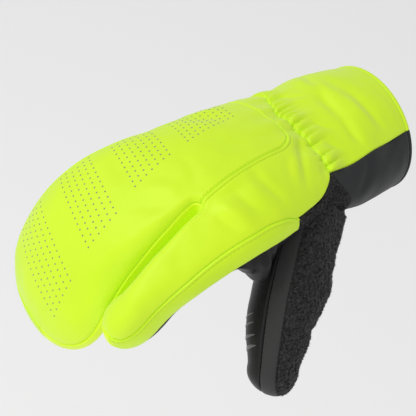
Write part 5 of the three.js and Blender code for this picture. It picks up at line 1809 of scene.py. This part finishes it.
for size, rise in ((1, -0.5), (1, 0.06), (0.6, DOT_RISE)):
    circle = (np.cos(dot_turn) * dot_along + np.sin(dot_turn) * dot_across) * size * DOT_SIZE / 2
    dot_rings.append((dot_at + dot_up * rise + circle).transpose(1, 0, 2))
place_piece(many_rings("printed_dots", np.stack(dot_rings, 1)), "neon_shell", dot_print)
print(len(dot_s), "dots")

# %% [markdown]
# Rubber stripes are printed across the thumb's face for grip. They are thin raised bars, a little
# broader towards the tip.

# %% Grip stripes
GRIPS = ((93, 1.2), (98, 1.5), (105, 2.2), (111, 2.8))
GRIP_RISE = 0.35
GRIP_REACH = 15.5
grip_y = np.linspace(-GRIP_REACH, GRIP_REACH, 26)
grip_rings = []
for middle, wide in GRIPS:
    s = middle - 0.014 * grip_y ** 2
    at = thumb_skin(s, grip_y, False)
    along = thumb_skin(s + 0.3, grip_y, False) - at
    aside = thumb_skin(s, grip_y + 0.3, False) - at
    along /= np.linalg.norm(along, axis=1, keepdims=True)
    out = np.cross(along, aside)
    out /= np.linalg.norm(out, axis=1, keepdims=True)
    out *= np.sign(np.sum(out * (at - place_thumb(s, 0, 0)), 1, keepdims=True))
    at = at + out * nearest_height(pad_panel, s, grip_y)[:, None]
    taper = np.sqrt(np.maximum(1 - (grip_y / GRIP_REACH) ** 4, 0.02))[:, None]
    corners = []
    for side, lift in ((-1, -0.4), (-0.9, 0.6), (-0.5, 1), (0.5, 1), (0.9, 0.6), (1, -0.4)):
        corners.append(at + along * side * wide * taper / 2 + out * lift * GRIP_RISE)
    grip_rings.append(np.stack(corners, 1))
place_piece(many_rings("grip_stripes", np.stack(grip_rings)), "palm_leather", grip_print)

# %% [markdown]
# Fleece is a pile of short curled fibres. Small leaning spikes all over the fleece break up its outline
# as the real fibres do.

# %% Fibres of the fleece


def fibres(name, panel, count, seed, keep, length=1.15, width=0.4):
    rng = np.random.default_rng(seed)
    surface = panel.surface
    sides = (surface[1:, :-1] - surface[:-1, :-1], surface[:-1, 1:] - surface[:-1, :-1])
    area = np.linalg.norm(np.cross(*sides), axis=-1).reshape(-1)
    chosen = rng.choice(len(area), count, p=area / area.sum())
    i, j = np.divmod(chosen, surface.shape[1] - 1)
    a, b = rng.random((2, count, 1))

    def spot(table):
        return mix(mix(table[i, j], table[i + 1, j], a), mix(table[i, j + 1], table[i + 1, j + 1], a), b)

    root = spot(surface)
    up = spot(panel.normal)
    kept = keep(root)
    root, up = root[kept], up[kept]
    lean = rng.normal(size=root.shape)
    lean -= up * np.sum(lean * up, 1, keepdims=True)
    lean /= np.linalg.norm(lean, axis=1, keepdims=True)
    across = np.cross(up, lean)
    reach = length * rng.uniform(0.5, 1.1, (len(root), 1))
    turn = np.linspace(0, 2 * np.pi, 3, endpoint=False)[:, None, None]
    rings = []
    for share, thick in ((-0.25, 1.0), (0.55, 0.7), (1.0, 0.12)):
        centre = root + up * reach * share * 0.75 + lean * reach * max(share, 0) ** 2 * 0.7
        circle = (np.cos(turn) * lean + np.sin(turn) * across) * width * thick / 2
        rings.append((centre + circle).transpose(1, 0, 2))
    return many_rings(name, np.stack(rings, 1))


place_piece(fibres("fibres_thumb", fleece_panel, 6000, 4, lambda p: ~in_hand(p, 0.2)), "fleece", fleece)
place_piece(fibres("fibres_root", gusset, 2500, 9, lambda p: ~in_thumb(p, 0.2)), "fleece", fleece)

# %% [markdown]
# The photo's camera stands 0.8 m off, above the fingers, and looks down on the back of the hand.
# Distance, height and lens were fitted to the photo's outline, so that the render lines up with it.

# %% The camera
VIEW_FROM = np.array((0.4424, 0.5089, 0.7385))
VIEW_RIGHT = np.array((-0.7547, 0.6561, 0.0))
AIM_AT = np.array((159.11, 11.57, 50.18))
CAMERA_DISTANCE = 810
CAMERA_SHIFT = 8.09
camera_data = bpy.data.cameras.new("photo_camera")
camera_data.lens = 121.2
camera_data.sensor_width = 36
camera_data.clip_end = 20
camera = bpy.data.objects.new("photo_camera", camera_data)
camera.location = Vector((AIM_AT + CAMERA_DISTANCE * VIEW_FROM + CAMERA_SHIFT * VIEW_RIGHT) * MM)
camera.rotation_euler = Vector(VIEW_FROM).to_track_quat("Z", "Y").to_euler()
bpy.context.scene.collection.objects.link(camera)
bpy.context.scene.camera = camera
print("camera at", [round(v, 3) for v in camera.location])

# %% [markdown]
# The floor lies far below, so that the mitt stands clear before an even pale ground and its shadow
# falls outside the picture. It shines a little, as a lit studio ground does.

# %% The floor
FLOOR_DROP = 0.55
FLOOR_GREY = (0.80, 0.80, 0.80, 1)
FLOOR_GLOW = 0.165
bpy.ops.object.select_all(action="DESELECT")
bpy.ops.mesh.primitive_plane_add(size=14, location=(0.1, 0, -FLOOR_DROP))
floor = bpy.context.object
floor.name = "floor"
pale = bpy.data.materials.new("pale_floor")
pale.use_nodes = True
pale_shader = pale.node_tree.nodes["Principled BSDF"]
pale_shader.inputs["Base Color"].default_value = FLOOR_GREY
pale_shader.inputs["Roughness"].default_value = 1
pale_shader.inputs["Specular IOR Level"].default_value = 0
pale_shader.inputs["Emission Color"].default_value = (1, 1, 1, 1)
pale_shader.inputs["Emission Strength"].default_value = FLOOR_GLOW
floor.data.materials.append(pale)
floor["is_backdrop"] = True
print("floor", FLOOR_DROP, "m below")

# %% [markdown]
# The photo has soft light from the upper left and hardly a shadow. One wide lamp there gives the cloth
# its form, a weaker one lifts the fingertips, and an even white world fills the rest.

# %% The light
UP = np.cross(VIEW_FROM, VIEW_RIGHT)


def soft_light(name, right, up, forward, power, size):
    """An area light placed as seen by the camera, aimed at the mitt."""
    data = bpy.data.lights.new(name, "AREA")
    data.energy = power
    data.shape = "DISK"
    data.size = size
    light = bpy.data.objects.new(name, data)
    towards = right * VIEW_RIGHT + up * UP + forward * VIEW_FROM
    light.location = Vector(AIM_AT * MM + towards)
    light.rotation_euler = Vector(towards).to_track_quat("Z", "Y").to_euler()
    bpy.context.scene.collection.objects.link(light)


soft_light("key", -0.9, 0.9, 1.1, 13.5, 0.8)
soft_light("front", -0.2, -1.1, 1.0, 5, 1.4)
world = bpy.data.worlds.new("studio")
bpy.context.scene.world = world
world.use_nodes = True
world.node_tree.nodes["Background"].inputs["Color"].default_value = (1, 1, 1, 1)
world.node_tree.nodes["Background"].inputs["Strength"].default_value = 0.58
bpy.context.scene.view_settings.view_transform = "Standard"
print("lamps:", len(bpy.data.lights))

# %% [markdown]
# The size of the finished mitt is kept beside the size of the solids, in metres.

# %% Sizes and finish
shown_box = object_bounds()
box_pairs = zip([*cad_box[0], *cad_box[1]], [*shown_box[0], *shown_box[1]])
grown = [round((b - a) * 1000, 2) for a, b in box_pairs]
print("the cloth differs from the solids by", grown, "mm at the box's six sides")
